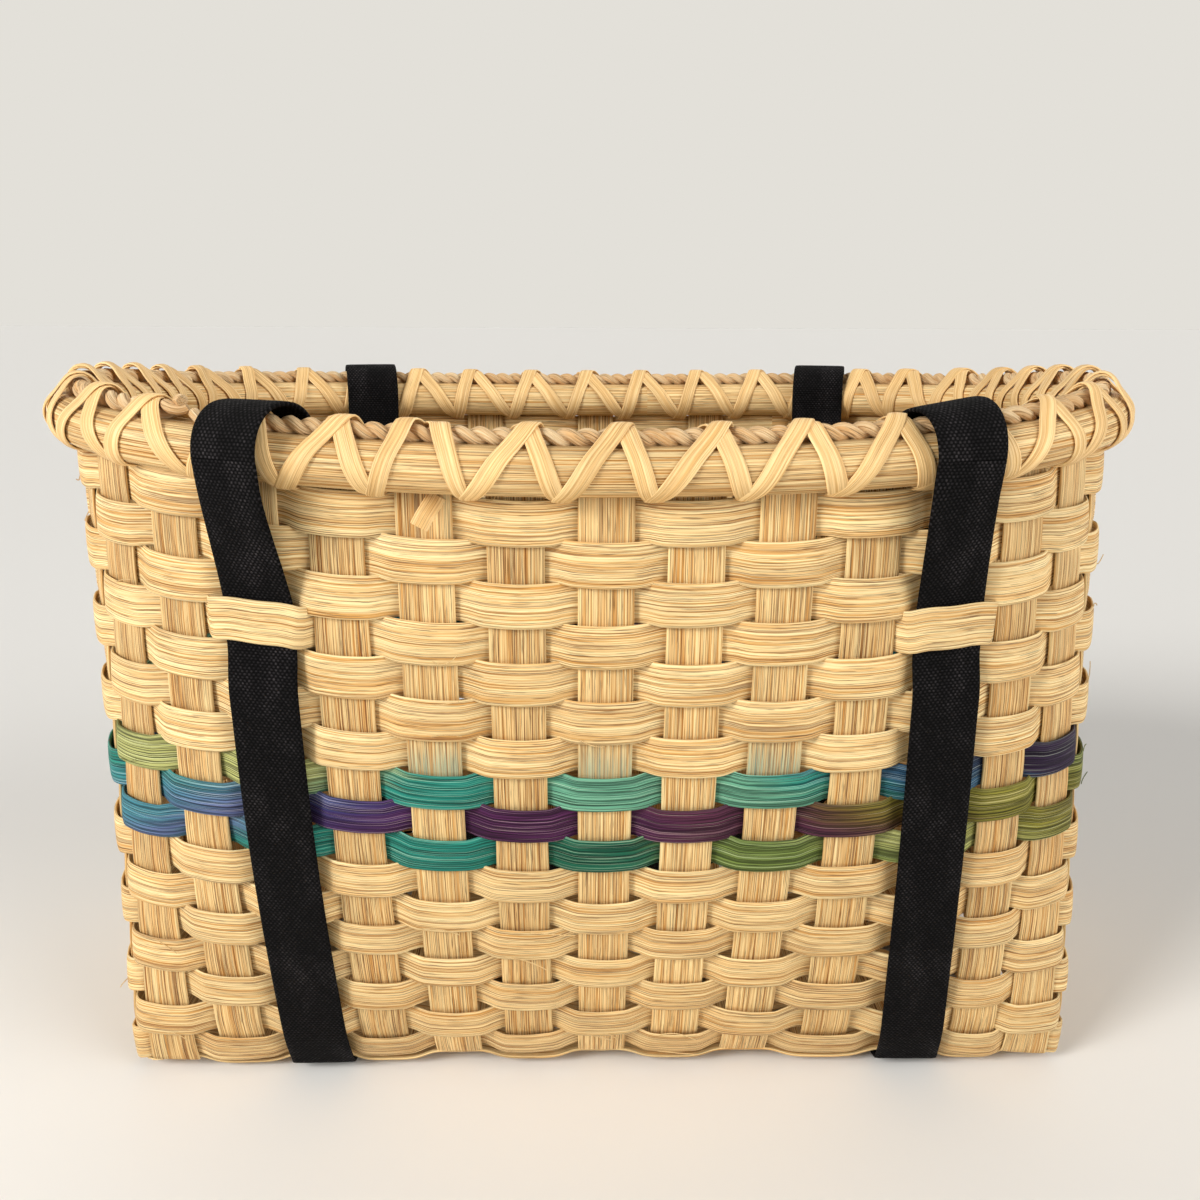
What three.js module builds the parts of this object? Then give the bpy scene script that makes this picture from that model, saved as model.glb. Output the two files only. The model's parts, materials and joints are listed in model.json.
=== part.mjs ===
// Tote basket of flat reed: a plaited base, rows of weaving that each close on themselves,
// a rim of half-round reed lashed over a rope filler, and webbing straps that end in two loop handles.
// Millimetres, +Z up, X along the basket, the front at -Y, the floor at Z = 0.
import * as THREE from "three";

// Flat reed of the stakes and rows, and flat-oval reed of the lashing
const STAKE_WIDTH = 17.6;
const STAKE_THICKNESS = 1.2;
const WEAVER_WIDTH = 12.5;
const WEAVER_THICKNESS = 1.2;
const LASHING_WIDTH = 7;
const LASHING_THICKNESS = 1.2;

// Half-round reed and rope of the rim
const RIM_HEIGHT = 15.9;
const RIM_DEPTH = 8;
const FILLER_DIAMETER = 6.8;

// Webbing
const STRAP_WIDTH = 25.4;
const STRAP_THICKNESS = 1.6;

// Clearances: crossing reeds, neighbouring rows, and everything else that touches
const WEAVE_GAP = 0.55;
const ROW_GAP = 0.4;
const SEAT_GAP = 0.3;

// Base: stakes that run front to back, stakes that run end to end, and the space between two of them
const SHORT_STAKES = 13;
const LONG_STAKES = 6;
const STAKE_SPACE = 9.34;
const BASE_CORNER_RADIUS = 6;
const BASE_FOLD = 2;

// Walls: rows below the rim, how far the rim stands out past the base, and the curves of wall and rim
const ROWS = 17;
const END_FLARE = 8;
const SIDE_FLARE = 37;
const RIM_SQUARENESS = 2.95;
const WALL_BOW = 1.1;
const END_RISE = 12;
const STAKE_TIP_DROP = 2;
const WALL_FACET_SAG = 0.3;
const WALL_FACET_TWIST = THREE.MathUtils.degToRad(6);

// Lashing round the rim: the slot where it starts, and how it stands on the crown, under the rim and on top
const LASHING_START = 4.5;
const LASHING_STAND_OFF = 1.7;
const LASHING_FOOT = 6;
const LASHING_SHOULDER_RISE = 2.7;
const LASHING_CREST = 6.4;
const LASHING_SLOT_SPARE = 0.5;

// Straps and handles: stakes from the middle, rows below the rim that hold them, and the loops
const STRAP_STAKES_FROM_MIDDLE = 4;
const KEEPER_ROWS_BELOW_RIM = 4;
const STRAP_FOLD = 3;
const STRAP_STEPS = 6;
const HANDLE_DROP = 175;
const HANDLE_LEG = 70;
const HANDLE_LEAN = THREE.MathUtils.degToRad(7);
const HANDLE_TWIST_STEPS = 5;
const HANDLE_BOW_STEPS = 12;

const STAKE_COUNT = 2 * (SHORT_STAKES + LONG_STAKES);
const STAKE_PITCH = STAKE_WIDTH + STAKE_SPACE;
const QUARTER = STAKE_COUNT / 4;
const FRONT_MIDDLE = (SHORT_STAKES + 1) / 2;
const RIM_ROW = ROWS + 1;

// Base outline: one stake pitch of outline runs round each corner.
const CORNER_STRAIGHT = (STAKE_PITCH - (BASE_CORNER_RADIUS * Math.PI) / 2) / 2;
const CORNER_REACH = CORNER_STRAIGHT + BASE_CORNER_RADIUS;
const BASE_HALF_LENGTH = ((SHORT_STAKES - 1) / 2) * STAKE_PITCH + CORNER_REACH;
const BASE_HALF_DEPTH = ((LONG_STAKES - 1) / 2) * STAKE_PITCH + CORNER_REACH;

// Distances between the middles of two crossing pieces
const WEAVE_LIFT = (STAKE_THICKNESS + WEAVER_THICKNESS) / 2 + WEAVE_GAP;
const BASE_LIFT = STAKE_THICKNESS + WEAVE_GAP;
const STRAP_LIFT = WEAVE_LIFT + (WEAVER_THICKNESS + STRAP_THICKNESS) / 2 + WEAVE_GAP;
const KEPT_STRAP_LIFT = (STAKE_THICKNESS + STRAP_THICKNESS) / 2 + SEAT_GAP;
const KEEPER_LIFT = KEPT_STRAP_LIFT + (STRAP_THICKNESS + WEAVER_THICKNESS) / 2 + WEAVE_GAP;
const RIM_SEAT = WEAVE_LIFT + WEAVER_THICKNESS / 2 + SEAT_GAP;

// Heights
const BASE_Z = STRAP_THICKNESS + SEAT_GAP + STAKE_THICKNESS / 2 + BASE_LIFT;
const ROW_PITCH = WEAVER_WIDTH + ROW_GAP;
const FIRST_ROW_Z = BASE_Z + BASE_FOLD + SEAT_GAP + WEAVER_WIDTH / 2;
const LASHING_SLOT = 2 * LASHING_THICKNESS + 3 * SEAT_GAP + LASHING_SLOT_SPARE;
const RIM_BOTTOM_Z = rowHeight(ROWS) + WEAVER_WIDTH / 2 + LASHING_SLOT;
const RIM_Z = RIM_BOTTOM_Z + RIM_HEIGHT / 2;
const RIM_TOP_Z = RIM_BOTTOM_Z + RIM_HEIGHT;
const STAKE_TIP_Z = RIM_TOP_Z - STAKE_TIP_DROP;
const FILLER_Z = RIM_TOP_Z + Math.sqrt((FILLER_DIAMETER / 2 + SEAT_GAP) ** 2 - RIM_SEAT ** 2);

const REED = { color: 0xcdaa72, roughness: 0.75 };
const STAKE_REED = { color: 0xc09a63, roughness: 0.78 };
const RIM_REED = { color: 0xd2b07a, roughness: 0.7 };
const ROPE = { color: 0x9c8b73, roughness: 0.9 };
const WEBBING = { color: 0x17171a, roughness: 0.85 };
const DYES = { 8: 0x3f7f62, 9: 0x5a4463, 10: 0x4f9484 };

/** Height of the middle of a row, counted from 1 at the base; the rim row sits behind the rim. */
function rowHeight(row) {
  if (row === RIM_ROW) {
    return RIM_BOTTOM_Z + ROW_GAP + WEAVER_WIDTH / 2;
  }
  return FIRST_ROW_Z + (row - 1) * ROW_PITCH;
}

/** A weaver passes outside a stake where the stake's number plus the row's is odd. */
function passesOutside(stake, row) {
  return (stake + row) % 2 === 1;
}

/** One quarter of the rim's plan, from the middle of the front to the middle of the right end. */
class RimQuarter extends THREE.Curve {
  getPoint(fraction, target = new THREE.Vector3()) {
    const angle = (fraction * Math.PI) / 2;
    const across = Math.sin(angle) / (BASE_HALF_LENGTH + END_FLARE);
    const deep = Math.cos(angle) / (BASE_HALF_DEPTH + SIDE_FLARE);
    const radius = (across ** RIM_SQUARENESS + deep ** RIM_SQUARENESS) ** (-1 / RIM_SQUARENESS);
    return target.set(radius * Math.sin(angle), -radius * Math.cos(angle), 0);
  }
}

const rimQuarter = new RimQuarter();
rimQuarter.arcLengthDivisions = 400;

/** Plan point of the rim at a stake number; whole numbers are stakes, halves are the spaces between. */
function rimPlan(stake) {
  const turn = THREE.MathUtils.euclideanModulo((stake - FRONT_MIDDLE) / QUARTER, 4);
  const quarter = Math.floor(turn);
  const fraction = quarter % 2 === 0 ? turn - quarter : quarter + 1 - turn;
  const point = rimQuarter.getPointAt(THREE.MathUtils.clamp(fraction, 0, 1));
  const right = quarter < 2 ? 1 : -1;
  const front = quarter === 0 || quarter === 3 ? 1 : -1;
  return new THREE.Vector2(right * point.x, front * point.y);
}

/** Plan of the path round a base corner: straight, arc, straight, from the stake before it. */
function cornerPlan(run) {
  const arc = (BASE_CORNER_RADIUS * Math.PI) / 2;
  if (run <= CORNER_STRAIGHT) {
    return new THREE.Vector2(run, 0);
  }
  if (run >= CORNER_STRAIGHT + arc) {
    return new THREE.Vector2(CORNER_REACH, BASE_CORNER_RADIUS + run - CORNER_STRAIGHT - arc);
  }
  const angle = (run - CORNER_STRAIGHT) / BASE_CORNER_RADIUS;
  const along = CORNER_STRAIGHT + BASE_CORNER_RADIUS * Math.sin(angle);
  return new THREE.Vector2(along, BASE_CORNER_RADIUS * (1 - Math.cos(angle)));
}

/** Plan point of the base outline at a stake number: a rectangle with small round corners. */
function basePlan(stake) {
  const half = STAKE_COUNT / 2;
  const number = THREE.MathUtils.euclideanModulo(stake - 1, STAKE_COUNT);
  const opposite = number >= half;
  const place = opposite ? number - half : number;
  const firstX = (-(SHORT_STAKES - 1) / 2) * STAKE_PITCH;
  const lastX = -firstX;
  const firstY = (-(LONG_STAKES - 1) / 2) * STAKE_PITCH;
  const point = new THREE.Vector2();
  if (place <= SHORT_STAKES - 1) {
    point.set(firstX + place * STAKE_PITCH, -BASE_HALF_DEPTH);
  } else if (place < SHORT_STAKES) {
    const corner = cornerPlan((place - SHORT_STAKES + 1) * STAKE_PITCH);
    point.set(lastX + corner.x, -BASE_HALF_DEPTH + corner.y);
  } else if (place <= half - 1) {
    point.set(BASE_HALF_LENGTH, firstY + (place - SHORT_STAKES) * STAKE_PITCH);
  } else {
    const corner = cornerPlan((half - place) * STAKE_PITCH);
    point.set(lastX + corner.x, BASE_HALF_DEPTH - corner.y);
  }
  return opposite ? point.negate() : point;
}

/** Point on the middle of the wall at a stake number and a height; the ends rise towards the rim. */
function wallPoint(stake, height) {
  const share = (height - BASE_Z) / (RIM_Z - BASE_Z);
  const blend = share + WALL_BOW * share * (1 - share);
  const plan = basePlan(stake).lerp(rimPlan(stake), blend);
  const endShare = plan.x / (BASE_HALF_LENGTH + END_FLARE);
  return new THREE.Vector3(plan.x, plan.y, height + END_RISE * (share * endShare) ** 2);
}

/** Direction straight up the wall at a stake number and a height. */
function wallRise(stake, height) {
  return wallPoint(stake, height + 1).sub(wallPoint(stake, height - 1)).normalize();
}

/** Where a stake crosses a height: its edges and middle, and the ways along, up and out of the wall there. */
function stakeFrame(stake, height) {
  const step = 0.1;
  const local = wallPoint(stake + step, height).distanceTo(wallPoint(stake - step, height));
  const halfSpan = ((STAKE_WIDTH / 2 + SEAT_GAP) * 2 * step) / local;
  const left = wallPoint(stake - halfSpan, height);
  const right = wallPoint(stake + halfSpan, height);
  const along = right.clone().sub(left).normalize();
  const out = along.clone().cross(wallRise(stake, height)).normalize();
  const up = out.clone().cross(along);
  const middle = left.clone().add(right).multiplyScalar(0.5);
  const leftUp = wallRise(stake - halfSpan, height);
  const rightUp = wallRise(stake + halfSpan, height);
  return { left, right, middle, along, up, out, leftUp, rightUp };
}

/** One cross-section of a swept piece: its middle, and the two directions its section is drawn in. */
function station(middle, across, out) {
  return { middle, across, out };
}

/** Moves a point along a direction and leaves the original alone. */
function shifted(point, direction, distance) {
  return point.clone().addScaledVector(direction, distance);
}

/** Section of flat stock. */
function flatSection(width, thickness) {
  const w = width / 2;
  const t = thickness / 2;
  return [
    new THREE.Vector2(-w, -t),
    new THREE.Vector2(w, -t),
    new THREE.Vector2(w, t),
    new THREE.Vector2(-w, t),
  ];
}

/** Section of flat-oval stock: flat on the inside, with a crown along the middle of the outside. */
function crownedSection(width, thickness) {
  const w = width / 2;
  const t = thickness / 2;
  return [new THREE.Vector2(-w, -t), new THREE.Vector2(w, -t), new THREE.Vector2(0, t)];
}

/** Section of round stock with a number of sides, or of half-round stock with its flat side at zero. */
function roundSection(width, depth, sides, sweep) {
  const count = sweep < 2 * Math.PI ? sides + 1 : sides;
  return Array.from({ length: count }, (_, index) => {
    const angle = (sweep * index) / sides;
    return new THREE.Vector2((width / 2) * Math.cos(angle), depth * Math.sin(angle));
  });
}

/** Sweeps a convex section along stations, as a closed ring or as a piece with two flat ends. */
function sweep(section, stations, closed) {
  const sides = section.length;
  const positions = [];
  for (const place of stations) {
    for (const corner of section) {
      const vertex = shifted(shifted(place.middle, place.across, corner.x), place.out, corner.y);
      positions.push(vertex.x, vertex.y, vertex.z);
    }
  }
  const index = [];
  const spans = closed ? stations.length : stations.length - 1;
  for (let span = 0; span < spans; span++) {
    const near = span * sides;
    const far = ((span + 1) % stations.length) * sides;
    for (let side = 0; side < sides; side++) {
      const next = (side + 1) % sides;
      index.push(near + side, near + next, far + next);
      index.push(near + side, far + next, far + side);
    }
  }
  if (!closed) {
    const last = (stations.length - 1) * sides;
    for (let side = 1; side < sides - 1; side++) {
      index.push(0, side + 1, side);
      index.push(last, last + side, last + side + 1);
    }
  }
  const geometry = new THREE.BufferGeometry();
  geometry.setAttribute("position", new THREE.Float32BufferAttribute(positions, 3));
  geometry.setIndex(index);
  geometry.computeVertexNormals();
  return geometry;
}

/** A named piece with its own material. */
function piece(name, geometry, look) {
  const material = new THREE.MeshStandardMaterial({ ...look, metalness: 0, flatShading: true });
  const mesh = new THREE.Mesh(geometry, material);
  mesh.name = name;
  return mesh;
}

/** Two digits, so that names sort in order. */
function numbered(stem, number) {
  return `${stem}_${String(number).padStart(2, "0")}`;
}

/** Stakes that a strap lies on, left then right, on the front and on the back. */
const STRAP_STAKES = {
  left: {
    front: FRONT_MIDDLE - STRAP_STAKES_FROM_MIDDLE,
    back: FRONT_MIDDLE + STAKE_COUNT / 2 + STRAP_STAKES_FROM_MIDDLE,
  },
  right: {
    front: FRONT_MIDDLE + STRAP_STAKES_FROM_MIDDLE,
    back: FRONT_MIDDLE + STAKE_COUNT / 2 - STRAP_STAKES_FROM_MIDDLE,
  },
};

/** The row that holds a strap against its stake: the nearest one that passes outside that stake. */
function keeperRow(stake) {
  const wanted = RIM_ROW - KEEPER_ROWS_BELOW_RIM;
  return passesOutside(stake, wanted) ? wanted : wanted - 1;
}

/** Whether a row is the one that holds a strap at a stake. */
function keepsStrap(stake, row) {
  const strapped = [STRAP_STAKES.left, STRAP_STAKES.right].flatMap((strap) => [strap.front, strap.back]);
  return strapped.includes(stake) && keeperRow(stake) === row;
}

/** One row of weaving: a closed ring, flat over each stake, that changes sides in each space. */
function weaver(row) {
  const height = rowHeight(row);
  const stations = [];
  for (let stake = 1; stake <= STAKE_COUNT; stake++) {
    const frame = stakeFrame(stake, height);
    if (keepsStrap(stake, row)) {
      const reach = STRAP_WIDTH / 2 + 2 * SEAT_GAP;
      const over = shifted(frame.middle, frame.out, KEEPER_LIFT);
      stations.push(station(shifted(over, frame.along, -reach), frame.up, frame.out));
      stations.push(station(shifted(over, frame.along, reach), frame.up, frame.out));
    } else {
      const lift = passesOutside(stake, row) ? WEAVE_LIFT : -WEAVE_LIFT;
      stations.push(station(shifted(frame.left, frame.out, lift), frame.leftUp, frame.out));
      stations.push(station(shifted(frame.right, frame.out, lift), frame.rightUp, frame.out));
    }
  }
  return sweep(flatSection(WEAVER_WIDTH, WEAVER_THICKNESS), stations, true);
}

/** Facets that a stake needs up a wall: more where the wall bows further or turns more on its way up. */
function wallSteps(stake) {
  const base = stakeFrame(stake, BASE_Z);
  const top = stakeFrame(stake, RIM_Z);
  const bow = (base.middle.distanceTo(top.middle.clone().setZ(base.middle.z)) * WALL_BOW) / 4;
  const twist = base.along.angleTo(top.along) * (1 + WALL_BOW);
  return Math.ceil(Math.max(Math.sqrt(bow / WALL_FACET_SAG), twist / WALL_FACET_TWIST));
}

/** Stations of a stake up one wall, from the base fold to its tip behind the rim. */
function stakeWall(stake) {
  const bottom = BASE_Z + BASE_FOLD;
  const steps = wallSteps(stake);
  return Array.from({ length: steps + 1 }, (_, step) => {
    const height = bottom + ((STAKE_TIP_Z - bottom) * step) / steps;
    const frame = stakeFrame(stake, height);
    return station(frame.middle, frame.along.negate(), frame.out);
  });
}

/** Turns stations round for the wall that a stake comes down, so that its section keeps one hand. */
function reversedDown(stations) {
  return stations
    .map((place) => station(place.middle, place.across.clone().negate(), place.out))
    .reverse();
}

/** A stake that runs front to back: down the front wall, flat across the base, up the back wall. */
function shortStake(number) {
  const x = (number - FRONT_MIDDLE) * STAKE_PITCH;
  const down = new THREE.Vector3(0, 0, -1);
  const across = new THREE.Vector3(1, 0, 0);
  const edge = BASE_HALF_DEPTH - BASE_FOLD;
  const flat = [-edge, edge].map((y) => station(new THREE.Vector3(x, y, BASE_Z), across, down));
  const back = STAKE_COUNT / 2 + 2 * FRONT_MIDDLE - number;
  const path = [...reversedDown(stakeWall(number)), ...flat, ...stakeWall(back)];
  return sweep(flatSection(STAKE_WIDTH, STAKE_THICKNESS), path, false);
}

/** A stake that runs end to end: it passes over and under the short stakes across the base. */
function longStake(number) {
  const y = (number - (LONG_STAKES + 1) / 2) * STAKE_PITCH;
  const down = new THREE.Vector3(0, 0, -1);
  const across = new THREE.Vector3(0, -1, 0);
  const place = (x, lift) => station(new THREE.Vector3(x, y, BASE_Z + lift), across, down);
  const edge = BASE_HALF_LENGTH - BASE_FOLD;
  const crossings = [];
  for (let crossed = 1; crossed <= SHORT_STAKES; crossed++) {
    const x = (crossed - FRONT_MIDDLE) * STAKE_PITCH;
    const lift = (crossed + number) % 2 === 0 ? BASE_LIFT : -BASE_LIFT;
    crossings.push(place(x - STAKE_WIDTH / 2 - SEAT_GAP, lift));
    crossings.push(place(x + STAKE_WIDTH / 2 + SEAT_GAP, lift));
  }
  const right = SHORT_STAKES + number;
  const left = STAKE_COUNT + 1 - number;
  const base = [place(-edge, 0), ...crossings, place(edge, 0)];
  const path = [...reversedDown(stakeWall(left)), ...base, ...stakeWall(right)];
  return sweep(flatSection(STAKE_WIDTH, STAKE_THICKNESS), path, false);
}

/** Corner of the rim in the space after a stake, clear of the faces of both stakes beside it. */
function rimCorner(stake, distance) {
  const here = stakeFrame(stake, RIM_Z);
  const next = stakeFrame(stake + 1, RIM_Z);
  const from = shifted(here.middle, here.out, distance);
  const to = shifted(next.middle, next.out, distance);
  const middle = from.clone().add(to).multiplyScalar(0.5);
  const out = here.out.clone().add(next.out).setZ(0).normalize();
  const reachHere = from.clone().sub(middle).dot(here.out) / out.dot(here.out);
  const reachNext = to.clone().sub(middle).dot(next.out) / out.dot(next.out);
  const reach = distance < 0 ? Math.min(reachHere, reachNext) : Math.max(reachHere, reachNext);
  return shifted(middle, out, reach);
}

/** Point of the rim at a stake number, a distance out and a height above the middle of the rim. */
function rimPoint(stake, distance, above) {
  const face = Math.round(stake);
  const start = rimCorner(face - 1, distance);
  const end = rimCorner(face, distance);
  const point = start.lerp(end, stake - face + 0.5);
  point.z += above;
  return point;
}

/** A closed ring that follows the rim; its section is drawn up the rim and out of the basket. */
function rimRing(section, distance, above, facing) {
  const up = new THREE.Vector3(0, 0, facing);
  const stations = [];
  for (let stake = 1; stake <= STAKE_COUNT; stake++) {
    const middle = rimPoint(stake + 0.5, distance, above);
    const out = rimPoint(stake + 0.5, distance + facing, above).sub(middle);
    stations.push(station(middle, up, out));
  }
  return sweep(section, stations, true);
}

const HALF_ROUND = roundSection(RIM_HEIGHT, RIM_DEPTH, 4, Math.PI);
const ROPE_SECTION = roundSection(FILLER_DIAMETER, FILLER_DIAMETER / 2, 6, 2 * Math.PI);

/** Path of the lashing round the rim's section, as distance out, height and share of a turn. */
function lashingLoop(extra) {
  const hug = SEAT_GAP + LASHING_THICKNESS / 2 + extra;
  const foot = RIM_SEAT + LASHING_FOOT + extra;
  const shoulder = RIM_SEAT + RIM_DEPTH + LASHING_STAND_OFF + hug;
  const crest = (LASHING_CREST + extra) / 2;
  const footZ = RIM_BOTTOM_Z - hug - RIM_Z;
  const crestZ = FILLER_Z + FILLER_DIAMETER / 2 + hug - RIM_Z;
  return [
    { distance: foot, above: footZ, share: 0 },
    { distance: shoulder, above: LASHING_SHOULDER_RISE, share: 0.27 },
    { distance: crest, above: crestZ, share: 0.45 },
    { distance: -crest, above: crestZ, share: 0.55 },
    { distance: -shoulder, above: LASHING_SHOULDER_RISE, share: 0.73 },
    { distance: -foot, above: footZ, share: 1 },
  ];
}

const LASHING_STACK = LASHING_THICKNESS + SEAT_GAP;

/** One strip of lashing that winds once through every space below the rim, forwards or back. */
function lashing(extra, heading) {
  const loop = lashingLoop(extra);
  const path = [];
  for (let turn = 0; turn < STAKE_COUNT; turn++) {
    for (const { distance, above, share } of loop) {
      const stake = LASHING_START + heading * (turn + share);
      const middle = rimPoint(stake, distance, above);
      const ahead = rimPoint(stake + 0.01, distance, above);
      const behind = rimPoint(stake - 0.01, distance, above);
      path.push({ middle, across: behind.sub(ahead).normalize() });
    }
  }
  const stations = path.map(({ middle, across }, index) => {
    const before = path[Math.max(index - 1, 0)].middle;
    const after = path[Math.min(index + 1, path.length - 1)].middle;
    const arriving = middle.clone().sub(before).cross(across).normalize();
    const leaving = after.clone().sub(middle).cross(across).normalize();
    const out = arriving.clone().add(leaving).normalize();
    const mitre = Math.max(out.dot(leaving), out.dot(arriving));
    return station(middle, across.clone(), out.divideScalar(mitre));
  });
  return { section: crownedSection(LASHING_WIDTH, LASHING_THICKNESS), stations };
}

/** Least distance between points of different turns of a lashing strip. */
function leastTurnGap({ section, stations }, perTurn) {
  const corners = stations.map((place) =>
    section.map((corner) => shifted(shifted(place.middle, place.across, corner.x), place.out, corner.y)),
  );
  let least = Infinity;
  for (let first = 0; first < corners.length; first++) {
    for (let second = first + perTurn - 1; second < corners.length; second++) {
      for (const a of corners[first]) {
        for (const b of corners[second]) {
          least = Math.min(least, a.distanceTo(b));
        }
      }
    }
  }
  return least;
}

/** Extremes of the lashed rim under a strap's width: the outermost, the innermost and the highest. */
function rimUnderStrap() {
  const outer = lashingLoop(LASHING_STACK);
  const shoulder = outer[1].distance + LASHING_THICKNESS;
  const half = (STRAP_WIDTH / 2 + SEAT_GAP) / STAKE_PITCH;
  const reach = { out: 0, in: Infinity, top: 0 };
  for (const aside of [-half, 0, half]) {
    const stake = STRAP_STAKES.left.front + aside;
    reach.out = Math.max(reach.out, -rimPoint(stake, shoulder, 0).y);
    reach.in = Math.min(reach.in, -rimPoint(stake, -shoulder, 0).y);
    reach.top = Math.max(reach.top, rimPoint(stake, 0, outer[2].above + LASHING_THICKNESS).z);
  }
  return reach;
}

const RIM_REACH = rimUnderStrap();

// Fold lines of a strap over the rim: one outside and one inside, both along X
const FOLD_Z = RIM_REACH.top + SEAT_GAP + STRAP_THICKNESS / 2;
const OUTER_FOLD_Y = -(RIM_REACH.out + SEAT_GAP + STRAP_THICKNESS / 2);
const INNER_FOLD_Y = -(RIM_REACH.in - SEAT_GAP - STRAP_THICKNESS / 2);
const FOLD_SETBACK = STRAP_THICKNESS / 2 + SEAT_GAP * 0.7;
const STRAP_X = stakeFrame(STRAP_STAKES.right.front, RIM_Z).middle.x;

/** Stations of a strap up one wall, from the underside of the base to the fold over the rim. */
function strapWall(stake, side) {
  const keeper = keeperRow(stake);
  const x = stakeFrame(stake, BASE_Z).middle.x;
  const sidewards = new THREE.Vector3(side, 0, 0);
  const outwards = new THREE.Vector3(0, side, 0);
  const downwards = new THREE.Vector3(0, 0, -1);
  const underZ = STRAP_THICKNESS / 2;
  const onWall = (height, lift) => {
    const frame = stakeFrame(stake, height);
    return station(shifted(frame.middle, frame.out, lift), frame.along.negate(), frame.out);
  };
  const corner = BASE_HALF_DEPTH + STRAP_LIFT;
  const start = FIRST_ROW_Z;
  const end = rowHeight(keeper - 2) + WEAVER_WIDTH / 2;
  const stations = [station(new THREE.Vector3(x, side * (corner - STRAP_FOLD), underZ), sidewards, downwards)];
  stations.push(onWall(underZ + STRAP_FOLD, STRAP_LIFT));
  for (let step = 0; step <= STRAP_STEPS; step++) {
    stations.push(onWall(start + ((end - start) * step) / STRAP_STEPS, STRAP_LIFT));
  }
  stations.push(onWall(rowHeight(keeper) - ROW_PITCH / 2, KEPT_STRAP_LIFT));
  stations.push(onWall(rowHeight(keeper) + ROW_PITCH / 2, KEPT_STRAP_LIFT));
  const shoulderZ = rimPoint(stake, 0, LASHING_SHOULDER_RISE).z;
  for (const z of [shoulderZ, FOLD_Z - FOLD_SETBACK]) {
    const middle = new THREE.Vector3(Math.sign(x) * STRAP_X, -side * OUTER_FOLD_Y, z);
    stations.push(station(middle, sidewards, outwards));
  }
  return stations;
}

/** A strap: down the front, under the base and up the back, in one length. */
function strap({ front, back }) {
  const path = [...reversedDown(strapWall(front, -1)), ...strapWall(back, 1)];
  return sweep(flatSection(STRAP_WIDTH, STRAP_THICKNESS), path, false);
}

/** The stretch of strap that lies over the rim, between its two fold lines. */
function strapFold() {
  const length = INNER_FOLD_Y - OUTER_FOLD_Y - 2 * FOLD_SETBACK;
  return new THREE.BoxGeometry(STRAP_WIDTH, length, STRAP_THICKNESS);
}

/** A loop handle that hangs from its inner fold line: two legs that turn edge-on, and the bow between. */
function handleLoop() {
  const stations = [];
  const bowDrop = HANDLE_DROP - HANDLE_LEG;
  for (let step = 0; step <= HANDLE_TWIST_STEPS; step++) {
    const share = step / HANDLE_TWIST_STEPS;
    const turn = (share * Math.PI) / 2;
    const z = -FOLD_SETBACK - (HANDLE_LEG - FOLD_SETBACK) * share;
    const across = new THREE.Vector3(Math.cos(turn), -Math.sin(turn), 0);
    const out = new THREE.Vector3(-Math.sin(turn), -Math.cos(turn), 0);
    stations.push(station(new THREE.Vector3(-STRAP_X, 0, z), across, out));
  }
  const across = new THREE.Vector3(0, -1, 0);
  for (let step = 1; step < HANDLE_BOW_STEPS; step++) {
    const angle = (Math.PI * step) / HANDLE_BOW_STEPS;
    const middle = new THREE.Vector3(-STRAP_X * Math.cos(angle), 0, -HANDLE_LEG - bowDrop * Math.sin(angle));
    const out = new THREE.Vector3(-bowDrop * Math.cos(angle), 0, -STRAP_X * Math.sin(angle)).normalize();
    stations.push(station(middle, across, out));
  }
  for (let step = HANDLE_TWIST_STEPS; step >= 0; step--) {
    const mirrored = stations[step];
    const flip = (vector) => new THREE.Vector3(-vector.x, vector.y, vector.z);
    stations.push(station(flip(mirrored.middle), flip(mirrored.across), flip(mirrored.out)));
  }
  const geometry = sweep(flatSection(STRAP_WIDTH, STRAP_THICKNESS), stations, false);
  return geometry.rotateX(HANDLE_LEAN);
}

/** One handle with its two stretches over the rim, drawn for the front. */
function handle(name, sides) {
  const group = new THREE.Group();
  for (const [side, x] of [[sides[0], -STRAP_X], [sides[1], STRAP_X]]) {
    const fold = piece(`${name}_${side}_fold`, strapFold(), WEBBING);
    fold.position.set(x, (OUTER_FOLD_Y + INNER_FOLD_Y) / 2, FOLD_Z);
    group.add(fold);
  }
  const loop = piece(`${name}_handle`, handleLoop(), WEBBING);
  loop.position.set(0, INNER_FOLD_Y, FOLD_Z);
  group.add(loop);
  return group;
}

const basket = new THREE.Group();
basket.name = "tote_basket";

for (let number = 1; number <= SHORT_STAKES; number++) {
  basket.add(piece(numbered("short_stake", number), shortStake(number), STAKE_REED));
}
for (let number = 1; number <= LONG_STAKES; number++) {
  basket.add(piece(numbered("long_stake", number), longStake(number), STAKE_REED));
}
for (let row = 1; row <= ROWS; row++) {
  const look = row in DYES ? { ...REED, color: DYES[row] } : REED;
  basket.add(piece(numbered("weaver_row", row), weaver(row), look));
}
basket.add(piece("rim_row", weaver(RIM_ROW), REED));
basket.add(piece("outer_rim", rimRing(HALF_ROUND, RIM_SEAT, 0, 1), RIM_REED));
basket.add(piece("inner_rim", rimRing(HALF_ROUND, -RIM_SEAT, 0, -1), RIM_REED));
basket.add(piece("rim_filler", rimRing(ROPE_SECTION, 0, FILLER_Z - RIM_Z, 1), ROPE));

for (const [name, extra, heading] of [["lashing_forward", 0, 1], ["lashing_return", LASHING_STACK, -1]]) {
  const strip = lashing(extra, heading);
  console.log(`${name}: least gap between turns ${leastTurnGap(strip, lashingLoop(extra).length).toFixed(2)} mm`);
  basket.add(piece(name, sweep(strip.section, strip.stations, false), RIM_REED));
}

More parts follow.
